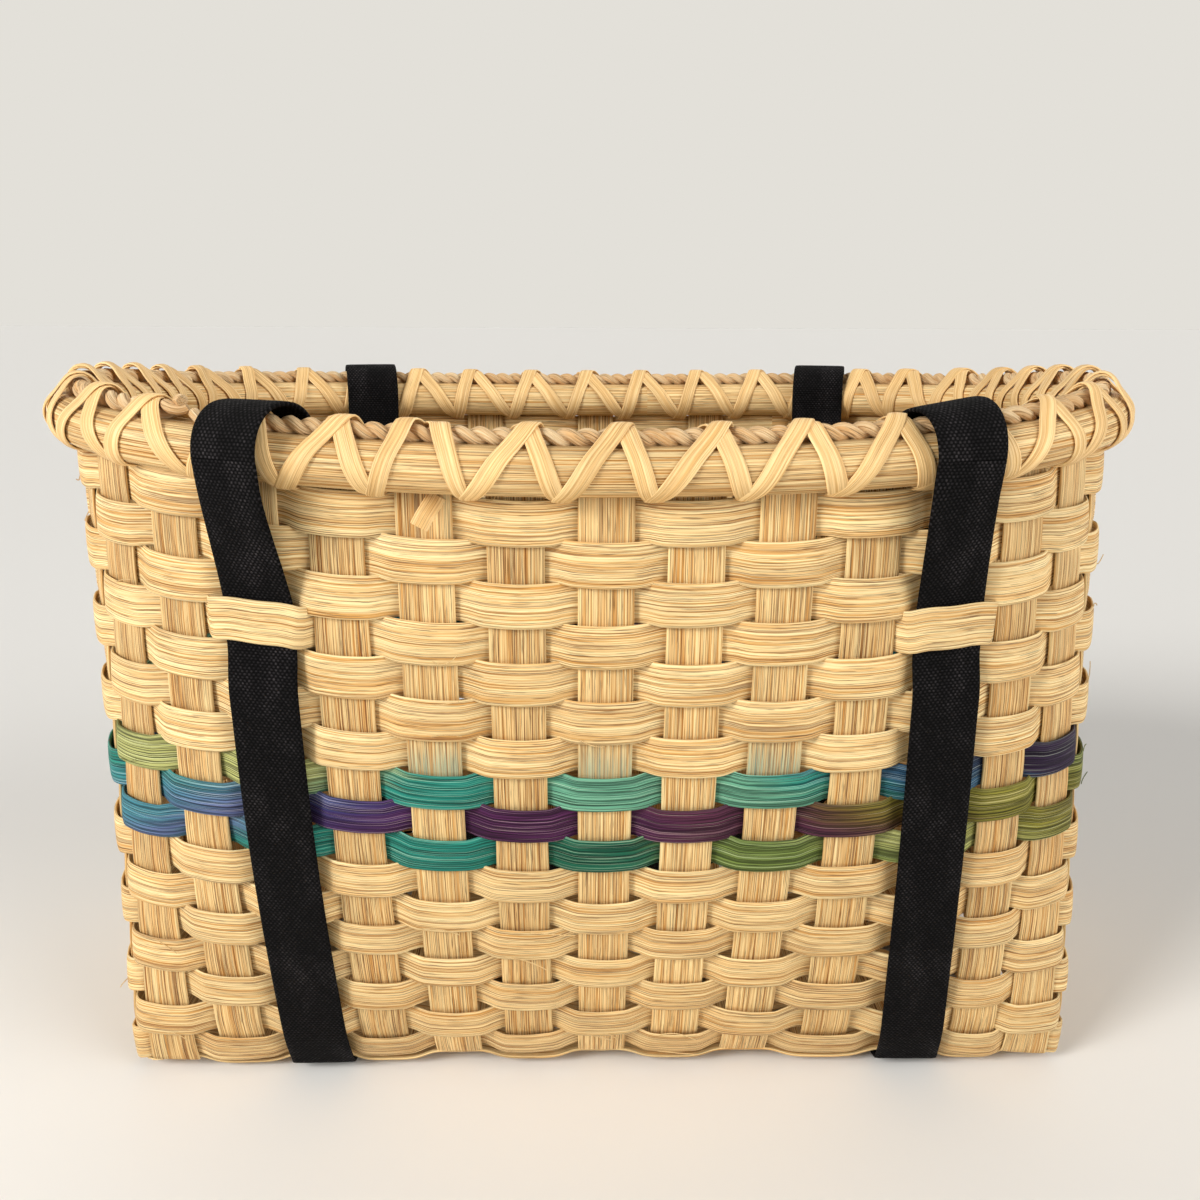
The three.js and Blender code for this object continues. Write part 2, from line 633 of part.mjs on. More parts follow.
basket.add(piece("strap_left", strap(STRAP_STAKES.left), WEBBING));
basket.add(piece("strap_right", strap(STRAP_STAKES.right), WEBBING));
basket.add(handle("front", ["left", "right"]));
const backHandle = handle("back", ["right", "left"]);
backHandle.rotation.z = Math.PI;
basket.add(backHandle);

export default basket;
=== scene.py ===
"""Looks of a tote basket of flat reed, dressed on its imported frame.

Lengths are metres in the frame's own axes: X along the basket, the front at -Y, Z up, the floor at Z = 0.
Stakes are numbered round the basket from the left of the front; rows are numbered from 1 at the base.
"""

from __future__ import annotations

import json
import logging
import math
from dataclasses import dataclass, field
from enum import Enum
from functools import cached_property
from typing import Any, Mapping, Sequence

import bpy
import numpy as np
from mathutils import Matrix, Vector

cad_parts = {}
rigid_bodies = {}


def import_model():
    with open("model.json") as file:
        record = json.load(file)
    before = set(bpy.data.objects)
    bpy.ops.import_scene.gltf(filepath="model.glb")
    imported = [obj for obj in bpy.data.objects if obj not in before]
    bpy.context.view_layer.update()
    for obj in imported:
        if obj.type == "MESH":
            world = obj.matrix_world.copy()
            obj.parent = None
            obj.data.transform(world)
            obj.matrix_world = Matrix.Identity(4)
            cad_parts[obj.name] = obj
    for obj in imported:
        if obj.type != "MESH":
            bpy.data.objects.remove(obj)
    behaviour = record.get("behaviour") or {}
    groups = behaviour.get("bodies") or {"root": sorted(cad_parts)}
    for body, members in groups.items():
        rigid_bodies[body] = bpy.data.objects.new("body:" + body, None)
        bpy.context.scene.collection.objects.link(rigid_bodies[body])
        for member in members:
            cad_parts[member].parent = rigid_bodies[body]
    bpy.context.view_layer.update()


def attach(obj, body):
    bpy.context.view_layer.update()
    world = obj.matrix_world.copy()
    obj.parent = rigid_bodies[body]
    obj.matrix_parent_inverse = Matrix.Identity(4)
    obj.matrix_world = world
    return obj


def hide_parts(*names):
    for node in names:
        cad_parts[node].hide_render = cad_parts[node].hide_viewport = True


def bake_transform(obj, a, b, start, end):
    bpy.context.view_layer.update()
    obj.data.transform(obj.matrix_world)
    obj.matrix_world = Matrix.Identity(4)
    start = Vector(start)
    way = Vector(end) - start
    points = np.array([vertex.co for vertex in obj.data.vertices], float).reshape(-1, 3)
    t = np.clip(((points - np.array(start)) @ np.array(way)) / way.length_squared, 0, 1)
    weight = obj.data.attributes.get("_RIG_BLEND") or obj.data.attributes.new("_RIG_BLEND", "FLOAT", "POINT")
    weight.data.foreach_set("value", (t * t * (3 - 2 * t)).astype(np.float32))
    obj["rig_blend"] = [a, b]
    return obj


LOG = logging.getLogger("tote_basket")
MM = 0.001
UP = np.array([0.0, 0.0, 1.0])
GRAIN_LENGTH = 3.0
Colour = tuple[float, float, float, float]
Settings = Mapping[str, Any] | None
Inputs = Mapping[Any, Any] | None
Span = tuple[float, float]
Wander = tuple[int, float]
Table = tuple[Span, ...]
Ground = tuple["Wire", "Wire | Colour"]


def shade(code: str) -> Colour:
    """Turns a screen colour into the linear colour that a shader takes.

    Args:
        code: Six hexadecimal digits, red first.

    Returns:
        Linear red, green, blue and a full alpha.
    """
    parts = [int(code[place : place + 2], 16) / 255 for place in (0, 2, 4)]
    linear = [part / 12.92 if part <= 0.04045 else ((part + 0.055) / 1.055) ** 2.4 for part in parts]
    return (linear[0], linear[1], linear[2], 1.0)


def unit(vectors: np.ndarray) -> np.ndarray:
    """Scales vectors to a length of one.

    Args:
        vectors: Array whose last axis holds the components.

    Returns:
        Array of the same shape.
    """
    return vectors / np.maximum(np.linalg.norm(vectors, axis=-1, keepdims=True), 1e-12)


def eased(share: np.ndarray) -> np.ndarray:
    """Smooth step from 0 to 1 over a share that is cut to that range."""
    share = np.clip(share, 0.0, 1.0)
    return share * share * (3 - 2 * share)


def looked_up(table: Table, place: Any) -> Any:
    """Values of a table of places and values, on straight lines between them."""
    return np.interp(place, *zip(*table))


def run_along(points: np.ndarray) -> np.ndarray:
    """Distances along a path, from 0 at its first point."""
    return np.concatenate([[0], np.cumsum(np.linalg.norm(np.diff(points, axis=0), axis=1))])


@dataclass(frozen=True)
class Zone:
    """A stretch that eases in from its start and out to its end."""

    start: float
    ease_in: float
    end: float
    ease_out: float

    def share(self, place: Any) -> np.ndarray:
        """How far in the zone places lie, from 0 outside to 1 well inside."""
        place = np.asarray(place, float)
        return eased((place - self.start) / self.ease_in) * eased((self.end - place) / self.ease_out)


# Node trees


class Wire:
    """A node socket that takes part in arithmetic; each operation adds one Math node."""

    def __init__(self, bench: Bench, socket: bpy.types.NodeSocket) -> None:
        """Keeps the socket and the bench whose tree it belongs to."""
        self.bench = bench
        self.socket = socket

    def _math(self, operation: str, *values: Wire | float) -> Wire:
        """Adds a Math node.

        Args:
            operation: Name of the Math operation.
            values: Wires or numbers for its inputs, in order.

        Returns:
            The node's result.
        """
        return self.bench.wire("ShaderNodeMath", {"operation": operation}, dict(enumerate(values)))

    def __add__(self, other: Wire | float) -> Wire:
        """Sum of this and another."""
        return self._math("ADD", self, other)

    def __radd__(self, other: float) -> Wire:
        """Sum of a number and this."""
        return self._math("ADD", other, self)

    def __sub__(self, other: Wire | float) -> Wire:
        """This less another."""
        return self._math("SUBTRACT", self, other)

    def __rsub__(self, other: float) -> Wire:
        """A number less this."""
        return self._math("SUBTRACT", other, self)

    def __mul__(self, other: Wire | float) -> Wire:
        """Product of this and another."""
        return self._math("MULTIPLY", self, other)

    def __rmul__(self, other: float) -> Wire:
        """Product of a number and this."""
        return self._math("MULTIPLY", other, self)

    def __truediv__(self, other: Wire | float) -> Wire:
        """This over another."""
        return self._math("DIVIDE", self, other)

    def __rtruediv__(self, other: float) -> Wire:
        """A number over this."""
        return self._math("DIVIDE", other, self)

    def __pow__(self, power: Wire | float) -> Wire:
        """This to a power."""
        return self._math("POWER", self, power)

    def __abs__(self) -> Wire:
        """Size of this without its sign."""
        return self._math("ABSOLUTE", self)

    def at_least(self, other: Wire | float) -> Wire:
        """The larger of this and another."""
        return self._math("MAXIMUM", self, other)

    def sign(self) -> Wire:
        """Sign of this, as -1, 0 or 1."""
        return self._math("SIGN", self)

    def sine(self) -> Wire:
        """Sine of this."""
        return self._math("SINE", self)

    def cosine(self) -> Wire:
        """Cosine of this."""
        return self._math("COSINE", self)

    def weighed(self, start: float, gain: float) -> Wire:
        """A start, and this times a gain."""
        return start + gain * self

    def ramp(self, low: float, high: float) -> Wire:
        """Smooth step of this.

        Args:
            low: Value that gives 0.
            high: Value that gives 1.

        Returns:
            A value from 0 to 1.
        """
        inputs = {"Value": self, "From Min": low, "From Max": high}
        return self.bench.wire("ShaderNodeMapRange", {"interpolation_type": "SMOOTHSTEP"}, inputs)


class Bench:
    """Adds nodes to one tree, a material's or a geometry tree."""

    def __init__(self, tree: bpy.types.NodeTree) -> None:
        """Keeps the tree that nodes are added to."""
        self.tree = tree

    @staticmethod
    def _pick(sockets: Sequence[bpy.types.NodeSocket], key: str | int) -> bpy.types.NodeSocket:
        """Finds a socket.

        Args:
            sockets: Inputs or outputs of a node.
            key: Its place, its identifier, or its name among those in use.

        Returns:
            The socket.
        """
        if isinstance(key, int):
            return sockets[key]
        exact = [socket for socket in sockets if socket.identifier == key]
        named = [socket for socket in sockets if socket.name == key]
        return (exact + [socket for socket in named if socket.enabled] + named)[0]

    def node(self, kind: str, settings: Settings = None, inputs: Inputs = None) -> bpy.types.Node:
        """Adds a node.

        Args:
            kind: Blender's name of the node's type.
            settings: Properties that are set first; "stops" gives a ramp's (place, colour) pairs.
            inputs: Values or wires by socket name, identifier or place.

        Returns:
            The node.
        """
        node = self.tree.nodes.new(kind)
        for name, value in (settings or {}).items():
            if name == "stops":
                self._set_stops(node.color_ramp, value)
            else:
                setattr(node, name, value)
        for key, value in (inputs or {}).items():
            socket = self._pick(node.inputs, key)
            if isinstance(value, Wire):
                self.tree.links.new(value.socket, socket)
            else:
                socket.default_value = value
        return node

    @staticmethod
    def _set_stops(ramp: bpy.types.ColorRamp, stops: Sequence[tuple[float, Colour]]) -> None:
        """Gives a colour ramp its stops.

        Args:
            ramp: Ramp of a new node, with two stops.
            stops: Place and colour of each stop, in order.
        """
        while len(ramp.elements) < len(stops):
            ramp.elements.new(1.0)
        for element, (place, colour) in zip(ramp.elements, stops):
            element.position, element.color = place, colour

    def wire(
        self, kind: str, settings: Settings = None, inputs: Inputs = None, output: str | int = 0
    ) -> Wire:
        """Adds a node and takes one of its outputs.

        Args:
            kind: Blender's name of the node's type.
            settings: As for node().
            inputs: As for node().
            output: Name, identifier or place of the output.

        Returns:
            The output.
        """
        return Wire(self, self._pick(self.node(kind, settings, inputs).outputs, output))

    def vector(self, operation: str, *values: Any) -> Wire:
        """Adds a Vector Math node.

        Args:
            operation: Name of the operation.
            values: Wires or triples for its inputs; SCALE takes a vector and a value.

        Returns:
            The resulting vector.
        """
        inputs: dict[Any, Any] = dict(enumerate(values))
        if operation == "SCALE":
            inputs = {0: values[0], "Scale": values[1]}
        return self.wire("ShaderNodeVectorMath", {"operation": operation}, inputs)

    def split(self, vector: Wire) -> tuple[Wire, Wire, Wire]:
        """Components of a vector.

        Args:
            vector: The vector.

        Returns:
            X, Y and Z.
        """
        node = self.node("ShaderNodeSeparateXYZ", None, {0: vector})
        return Wire(self, node.outputs[0]), Wire(self, node.outputs[1]), Wire(self, node.outputs[2])

    def joined(self, x: Wire | float, y: Wire | float, z: Wire | float) -> Wire:
        """A vector from its components."""
        return self.wire("ShaderNodeCombineXYZ", None, {0: x, 1: y, 2: z})


class MaterialBench(Bench):
    """A material's nodes, with the few that every finish here uses."""

    def __init__(self, name: str) -> None:
        """Makes an empty material of that name.

        Args:
            name: The material's name.
        """
        self.material = bpy.data.materials.new(name)
        self.material.use_nodes = True
        super().__init__(self.material.node_tree)
        self.tree.nodes.clear()

    def attribute(self, name: str, output: str = "Fac") -> Wire:
        """Reads an attribute of the mesh.

        Args:
            name: The attribute's name.
            output: Fac for a value, Vector for a vector.

        Returns:
            The value.
        """
        return self.wire("ShaderNodeAttribute", {"attribute_name": name}, None, output)

    def noise(self, place: Wire, scale: Sequence[float], detail: float = 2.0, roughness: float = 0.5) -> Wire:
        """Noise that is stretched along the axes of a coordinate.

        Args:
            place: Coordinate in metres.
            scale: Features per metre along each axis.
            detail: Octaves of the noise.
            roughness: Weight of the finer octaves.

        Returns:
            A value about 0.5.
        """
        stretched = self.vector("MULTIPLY", place, tuple(scale))
        inputs = {"Vector": stretched, "Scale": 1.0, "Detail": detail, "Roughness": roughness}
        return self.wire("ShaderNodeTexNoise", None, inputs)

    def mix(
        self, share: Wire | float, first: Wire | Colour, second: Wire | Colour, blend: str = "MIX"
    ) -> Wire:
        """Mixes two colours.

        Args:
            share: Share of the second colour.
            first: The first colour.
            second: The second colour.
            blend: How the second goes on the first.

        Returns:
            The mixed colour.
        """
        settings = {"data_type": "RGBA", "blend_type": blend}
        inputs = {"Factor_Float": share, "A_Color": first, "B_Color": second}
        return self.wire("ShaderNodeMix", settings, inputs, "Result_Color")

    def bump(self, height: Wire, distance: float, strength: float = 1.0) -> Wire:
        """A normal from a height.

        Args:
            height: Height from 0 to 1.
            distance: What a height of 1 is, in metres.
            strength: Share of the effect.

        Returns:
            The normal.
        """
        inputs = {"Height": height, "Distance": distance, "Strength": strength}
        return self.wire("ShaderNodeBump", None, inputs)

    def finish(
        self, colour: Wire | Colour, roughness: Wire | float, gloss: float, normal: Wire | None = None
    ) -> bpy.types.Material:
        """Ends the material in a surface shader.

        Args:
            colour: Its colour.
            roughness: Its roughness.
            gloss: Strength of its plain reflection.
            normal: Normal of its relief.

        Returns:
            The material.
        """
        inputs = {"Base Color": colour, "Roughness": roughness, "Specular IOR Level": gloss}
        relief = {"Normal": normal} if normal else {}
        surface = self.wire("ShaderNodeBsdfPrincipled", None, inputs | relief)
        self.node("ShaderNodeOutputMaterial", None, {"Surface": surface})
        return self.material


# Finishes


class Dye(Enum):
    """Dyes of the coloured band, named as a dyer would."""

    TEAL = "1f7062"
    SEA = "568a70"
    SAGE = "98995c"
    SKY = "356c78"
    HEATHER = "4d587c"
    SLATE = "2a4c66"
    INDIGO = "2b2752"
    GRAPE = "3f214b"
    PLUM = "411a3d"
    WINE = "452033"
    AUBERGINE = "22122c"
    BARK = "56431f"
    OLIVE = "6f6a26"
    MOSS = "5c6c33"
    FOREST = "144e3a"


@dataclass(frozen=True)
class Pattern:
    """Noise on a strip: features per metre along and across it, and the noise that gives 0 and 1."""

    along: float
    across: float
    low: float
    high: float
    detail: float = 2.0
    roughness: float = 0.5

    def draw(self, bench: MaterialBench, grain: Wire) -> Wire:
        """The pattern on a strip's grain coordinate, from 0 to 1."""
        scale = (self.along, self.across, self.across)
        return bench.noise(grain, scale, self.detail, self.roughness).ramp(self.low, self.high)


@dataclass(frozen=True, kw_only=True)
class ReedFinish:
    """Split reed: pale and deep fibres along the strip, dark pores, and edges made paler partly by fibres
    that lift and partly by a painted highlight.

    In this and other finishes, a pair named FIRST_ON_SECOND holds the start and the gain of the first as the
    second goes from 0 to 1.
    """

    BAND = Pattern(11, 600, 0.34, 0.66)
    FIBRE = Pattern(17, 2500, 0.38, 0.62, 3.0, 0.6)
    LINE = Pattern(14, 3500, 0.53, 0.6, 2.0, 0.55)
    GLINT = Pattern(15, 3400, 0.41, 0.33, 2.0, 0.55)
    PORE = Pattern(80, 3000, 0.57, 0.66)
    CLOUD = Pattern(22, 70, 0.3, 0.7, 3.0)
    BLED_DYE = "5f9a90"
    EDGE = (0.86, 0.97)
    LINE_ON_TONE = (1.25, -0.4)
    FRAY_AND_HIGHLIGHT_ON_FIBRE = (0.2, 0.8)
    VALUE_ON_TONE = (0.85, 0.18)
    GREEN_ON_TONE = (0.96, 0.04)
    BLUE_ON_TONE = (0.92, 0.08)
    BLEED_ON_FIBRE = (0.3, 0.7)

    name: str
    pale: str
    deep: str
    pore: str
    half_width: float
    line_share: float = 0.55
    pore_share: float = 0.5
    glint_share: float = 0.75
    roughness: float = 0.58
    relief: float = 0.12 * MM
    frayed_and_edge_highlight: float = 0.7
    gloss: float = 0.3
    cloud_value: float = 0.16
    fibre_height: float = 0.45
    band_height: float = 0.4
    dent: float = 0.35
    dulling: float = 0.14
    sheen: float = 0.08
    bump_share: float = 0.75

    def build(self) -> bpy.types.Material:
        """Makes the material from the strip's own grain coordinates.

        Returns:
            The material.
        """
        bench = MaterialBench(self.name)
        grain = bench.attribute("grain", "Vector")
        _, across, _ = bench.split(grain)
        tone = bench.attribute("tone")
        patterns = (self.BAND, self.FIBRE, self.LINE, self.GLINT, self.PORE, self.CLOUD)
        band, fibre, line, glint, pore, cloud = (pattern.draw(bench, grain) for pattern in patterns)
        edge = (abs(across) / self.half_width).ramp(*self.EDGE)
        colour, hairline = self._ground(bench, across, fibre, band)
        lined = line * (self.line_share * tone.weighed(*self.LINE_ON_TONE))
        colour = bench.mix(lined, colour, shade(self.deep))
        colour = bench.mix(pore * self.pore_share, colour, shade(self.pore))
        colour = bench.mix(glint * self.glint_share, colour, hairline)
        # Paler edges: fibres that lift, and a painted highlight along both edges of the strip.
        colour = bench.mix(edge * (self.frayed_and_edge_highlight * fibre.weighed(*self.FRAY_AND_HIGHLIGHT_ON_FIBRE)), colour, hairline)
        # Tone scales and warms the colour: a random tone per strip, and on the woven rows also painted shade
        # that darkens them towards the base.
        value = tone.weighed(*self.VALUE_ON_TONE) + self.cloud_value * cloud
        green, blue = tone.weighed(*self.GREEN_ON_TONE), tone.weighed(*self.BLUE_ON_TONE)
        colour = bench.mix(1.0, colour, bench.joined(value, value * green, value * blue), "MULTIPLY")
        bleed = bench.attribute("bleed") * fibre.weighed(*self.BLEED_ON_FIBRE)
        colour = bench.mix(bleed, colour, shade(self.BLED_DYE))
        height = self.fibre_height * fibre + self.band_height * band - self.dent * line - self.dent * pore
        roughness = self.roughness + self.dulling * (line + pore) - self.sheen * fibre
        return bench.finish(colour, roughness, self.gloss, bench.bump(height, self.relief, self.bump_share))

    def _ground(self, bench: MaterialBench, across: Wire, fibre: Wire, band: Wire) -> Ground:
        """Colour of the fibres before lines, pores and hairlines go on.

        Args:
            bench: The material's nodes.
            across: Place across the strip.
            fibre: Fine fibre pattern.
            band: Broad fibre pattern.

        Returns:
            The colour, and the colour of the hairlines.
        """
        raise NotImplementedError


@dataclass(frozen=True, kw_only=True)
class PlainReed(ReedFinish):
    """Undyed reed: its fibres run from a pale colour to a deeper body."""

    body: str
    fibre_share: float = 0.82
    band_share: float = 0.18

    def _ground(self, bench: MaterialBench, across: Wire, fibre: Wire, band: Wire) -> Ground:
        """Undyed colour of the fibres, and the pale colour of the hairlines."""
        pale = shade(self.pale)
        return bench.mix(fibre * self.fibre_share + band * self.band_share, shade(self.body), pale), pale


@dataclass(frozen=True, kw_only=True)
class DyedReed(ReedFinish):
    """Dyed reed: the dye changes from stake to stake and takes unevenly on the fibres."""

    TAKEN = (0.15, 0.85)
    TAKEN_ON_BAND = (0.8, 0.2)

    dye: tuple[tuple[float, Dye], ...]
    half_width: float = 6.4 * MM
    pore_share: float = 0.4
    glint_share: float = 0.8
    frayed_and_edge_highlight: float = 0.12
    gloss: float = 0.14
    stakes_round: int = 38
    level_place: float = 0.171
    slant_gain: float = 8.5
    slant_reach: float = 0.02
    fibre_reach: float = 0.012
    soaked: float = 0.45
    washed: float = 1.6
    bare: float = 3.2
    undyed_share: float = 0.42

    def _ground(self, bench: MaterialBench, across: Wire, fibre: Wire, band: Wire) -> Ground:
        """Dyed colour of the fibres.

        Args:
            bench: The material's nodes.
            across: Place across the strip.
            fibre: Fine fibre pattern.
            band: Broad fibre pattern.

        Returns:
            The colour, and that of the hairlines, which took less dye.
        """
        stops = [(stake / self.stakes_round, shade(dye.value)) for stake, dye in self.dye]
        place = bench.attribute("place")
        slant = ((self.level_place - place) * self.slant_gain).at_least(-1.0)
        slid = slant * across * (self.slant_reach / self.half_width)
        place = place + self.fibre_reach * (band - 0.5) + slid
        dyed = bench.wire("ShaderNodeValToRGB", {"stops": stops}, {"Fac": place}, "Color")
        soaked = bench.vector("SCALE", dyed, self.soaked)
        washed = bench.vector("SCALE", dyed, self.washed)
        hairline = bench.mix(self.undyed_share, bench.vector("SCALE", dyed, self.bare), shade(self.pale))
        taken = fibre.ramp(*self.TAKEN) * band.weighed(*self.TAKEN_ON_BAND)
        return bench.mix(taken, soaked, washed), hairline


@dataclass(frozen=True)
class RopeFinish:
    """Twisted grass: dull fibres that follow each strand, with dark splits between them."""

    FIBRE = Pattern(110, 2400, 0.34, 0.66, 3.0, 0.6)
    PATCH = Pattern(75, 260, 0.36, 0.66)
    SPLIT = Pattern(150, 3600, 0.56, 0.7)

    name: str
    pale: str
    body: str
    deep: str
    relief: float = 0.3 * MM
    fibre_share: float = 0.6
    patch_share: float = 0.4
    split_share: float = 0.7
    roughness: float = 0.72
    dulling: float = 0.15
    gloss: float = 0.3
    split_depth: float = 0.8
    bump_share: float = 0.8

    def build(self) -> bpy.types.Material:
        """Makes the material from each strand's own grain coordinates.

        Returns:
            The material.
        """
        bench = MaterialBench(self.name)
        grain = bench.attribute("grain", "Vector")
        fibre = self.FIBRE.draw(bench, grain)
        patch = self.PATCH.draw(bench, grain)
        split = self.SPLIT.draw(bench, grain)
        paled = fibre * self.fibre_share + patch * self.patch_share
        colour = bench.mix(paled, shade(self.body), shade(self.pale))
        colour = bench.mix(split * self.split_share, colour, shade(self.deep))
        roughness = self.roughness + self.dulling * split
        normal = bench.bump(fibre - self.split_depth * split, self.relief, self.bump_share)
        return bench.finish(colour, roughness, self.gloss, normal)


@dataclass(frozen=True)
class WebbingFinish:
    """Cotton webbing: a plain weave of thick yarns between two plain selvedges, with yarn crests made lighter
    partly by wear and partly by a painted highlight.
    """

    FUZZ = Pattern(900, 900, 0.4, 0.75)
    WORN = Pattern(45, 90, 0.45, 0.75, 3.0)
    OVER = (-0.35, 0.45)
    SELVEDGE = (0.9, 0.97)
    HIGHLIGHT_ON_OVER = (0.12, 0.88)
    HIGHLIGHT_ON_FUZZ = (0.35, 0.65)
    LIFT_ON_WORN = (0.35, 0.65)
    HEIGHT_ON_OVER = (0.55, 0.45)
    HEIGHT_ON_SELVEDGE = (1.0, -0.6)

    name: str
    face: str
    # Colour of the lighter yarn crests: partly wear, partly a painted highlight.
    lift: str
    half_width: float
    warp_pitch: float = 0.75 * MM
    weft_pitch: float = 1 * MM
    warp_wander: float = 0.4 * MM
    weft_wander: float = 0.5 * MM
    wander_scale: float = 260
    relief: float = 0.32 * MM
    yarn_power: float = 0.7
    fuzz_height: float = 0.25
    roughness: float = 0.8
    sheen: float = 0.25
    gloss: float = 0.05
    bump_share: float = 0.9

    def build(self) -> bpy.types.Material:
        """Makes the material from the strip's own grain coordinates.

        Returns:
            The material.
        """
        bench = MaterialBench(self.name)
        grain = bench.attribute("grain", "Vector")
        along, across, _ = bench.split(grain)
        wander = bench.noise(grain, [self.wander_scale] * 3, 1.0) - 0.5
        warp = ((across + wander * self.warp_wander) * (math.pi / self.warp_pitch)).sine()
        weft = ((along + wander * self.weft_wander) * (math.pi / self.weft_pitch)).sine()
        pillow = abs(weft) ** self.yarn_power
        over = (warp * weft).ramp(*self.OVER)
        fuzz = self.FUZZ.draw(bench, grain)
        worn = self.WORN.draw(bench, grain)
        selvedge = (abs(across) / self.half_width).ramp(*self.SELVEDGE)
        # Painted highlight on the crests of the yarns.
        crest_highlight = pillow * over.weighed(*self.HIGHLIGHT_ON_OVER) * fuzz.weighed(*self.HIGHLIGHT_ON_FUZZ)
        # The lift colour goes on the crests, more where the webbing is worn: partly wear, partly a painted
        # highlight.
        colour = bench.mix(crest_highlight * worn.weighed(*self.LIFT_ON_WORN), shade(self.face), shade(self.lift))
        height = pillow * over.weighed(*self.HEIGHT_ON_OVER) * selvedge.weighed(*self.HEIGHT_ON_SELVEDGE)
        normal = bench.bump(height + self.fuzz_height * fuzz, self.relief, self.bump_share)
        return bench.finish(colour, self.roughness - self.sheen * crest_highlight, self.gloss, normal)


@dataclass(frozen=True)
class FloorFinish:
    """Plain pale studio floor."""

    name: str
    code: str
    roughness: float = 0.85
    gloss: float = 0.2

    def build(self) -> bpy.types.Material:
        """Makes the material."""
        return MaterialBench(self.name).finish(shade(self.code), self.roughness, self.gloss)


WEAVER_REED = PlainReed(
    name="weaver_reed", pale="f2dca5", body="c79047", deep="743e0b", pore="4a2403",
    half_width=6.6 * MM, line_share=0.68, pore_share=0.6,
)
STAKE_REED = PlainReed(
    name="stake_reed", pale="eed49a", body="c0863d", deep="6a3809", pore="422103",
    half_width=8.8 * MM, line_share=0.68, pore_share=0.6,
)
RIM_REED = PlainReed(
    name="rim_reed", pale="f6dda5", body="c2893f", deep="6a3809", pore="422103",
    half_width=8.0 * MM, line_share=0.5, glint_share=0.65,
)
LASHING_REED = PlainReed(
    name="lashing_reed", pale="fbdba0", body="dcae6b", deep="a87236", pore="825222",
    half_width=2.9 * MM, line_share=0.36, pore_share=0.25, glint_share=0.4, roughness=0.5,
)
TEAL_DYE = DyedReed(
    name="teal_dyed_reed", pale="c9d2bd", deep="141816", pore="101312",
    dye=(
        (0, Dye.SAGE), (3.2, Dye.SAGE), (4.6, Dye.TEAL), (5.6, Dye.TEAL), (6.5, Dye.SEA), (8.8, Dye.SEA),
        (9.6, Dye.TEAL), (10.6, Dye.SLATE), (11.4, Dye.SLATE), (12.1, Dye.AUBERGINE), (14, Dye.AUBERGINE),
        (16, Dye.WINE), (18, Dye.BARK), (21, Dye.OLIVE), (24, Dye.MOSS), (27, Dye.TEAL), (30, Dye.SKY),
        (33, Dye.SEA), (36, Dye.SEA), (38, Dye.SAGE),
    ),
)
PURPLE_DYE = DyedReed(
    name="purple_dyed_reed", pale="c9bbaa", deep="171214", pore="120e10",
    dye=(
        (0, Dye.TEAL), (1.5, Dye.SKY), (2.7, Dye.HEATHER), (3.5, Dye.INDIGO), (4.5, Dye.GRAPE),
        (5.5, Dye.PLUM), (7, Dye.PLUM), (8, Dye.WINE), (9.3, Dye.WINE), (10.2, Dye.BARK),
        (11.4, Dye.OLIVE), (13, Dye.OLIVE), (15, Dye.MOSS), (18, Dye.TEAL), (22, Dye.SLATE),
        (25, Dye.INDIGO), (28, Dye.PLUM), (31, Dye.BARK), (34, Dye.MOSS), (36.5, Dye.TEAL), (38, Dye.TEAL),
    ),
)
GREEN_DYE = DyedReed(
    name="green_dyed_reed", pale="c6cdb2", deep="121814", pore="0f1310",
    dye=(
        (0, Dye.SKY), (0.8, Dye.SKY), (1.8, Dye.HEATHER), (3, Dye.TEAL), (5.5, Dye.TEAL), (6.4, Dye.FOREST),
        (7.5, Dye.FOREST), (8.5, Dye.MOSS), (9.6, Dye.MOSS), (11, Dye.SAGE), (12.8, Dye.OLIVE),
        (16, Dye.BARK), (19, Dye.WINE), (22, Dye.INDIGO), (26, Dye.SKY), (30, Dye.TEAL), (33, Dye.MOSS),
        (36, Dye.SLATE), (38, Dye.SKY),
    ),
)
ROPE = RopeFinish("grass_rope", "f7dcae", "d8a66a", "784a24")
# The second colour is that of the lighter yarn crests, partly a painted highlight.
WEBBING = WebbingFinish("black_webbing", "030303", "454142", 11.75 * MM)
FLOOR = FloorFinish("pale_floor", "ebe8e2")


# Form of the basket


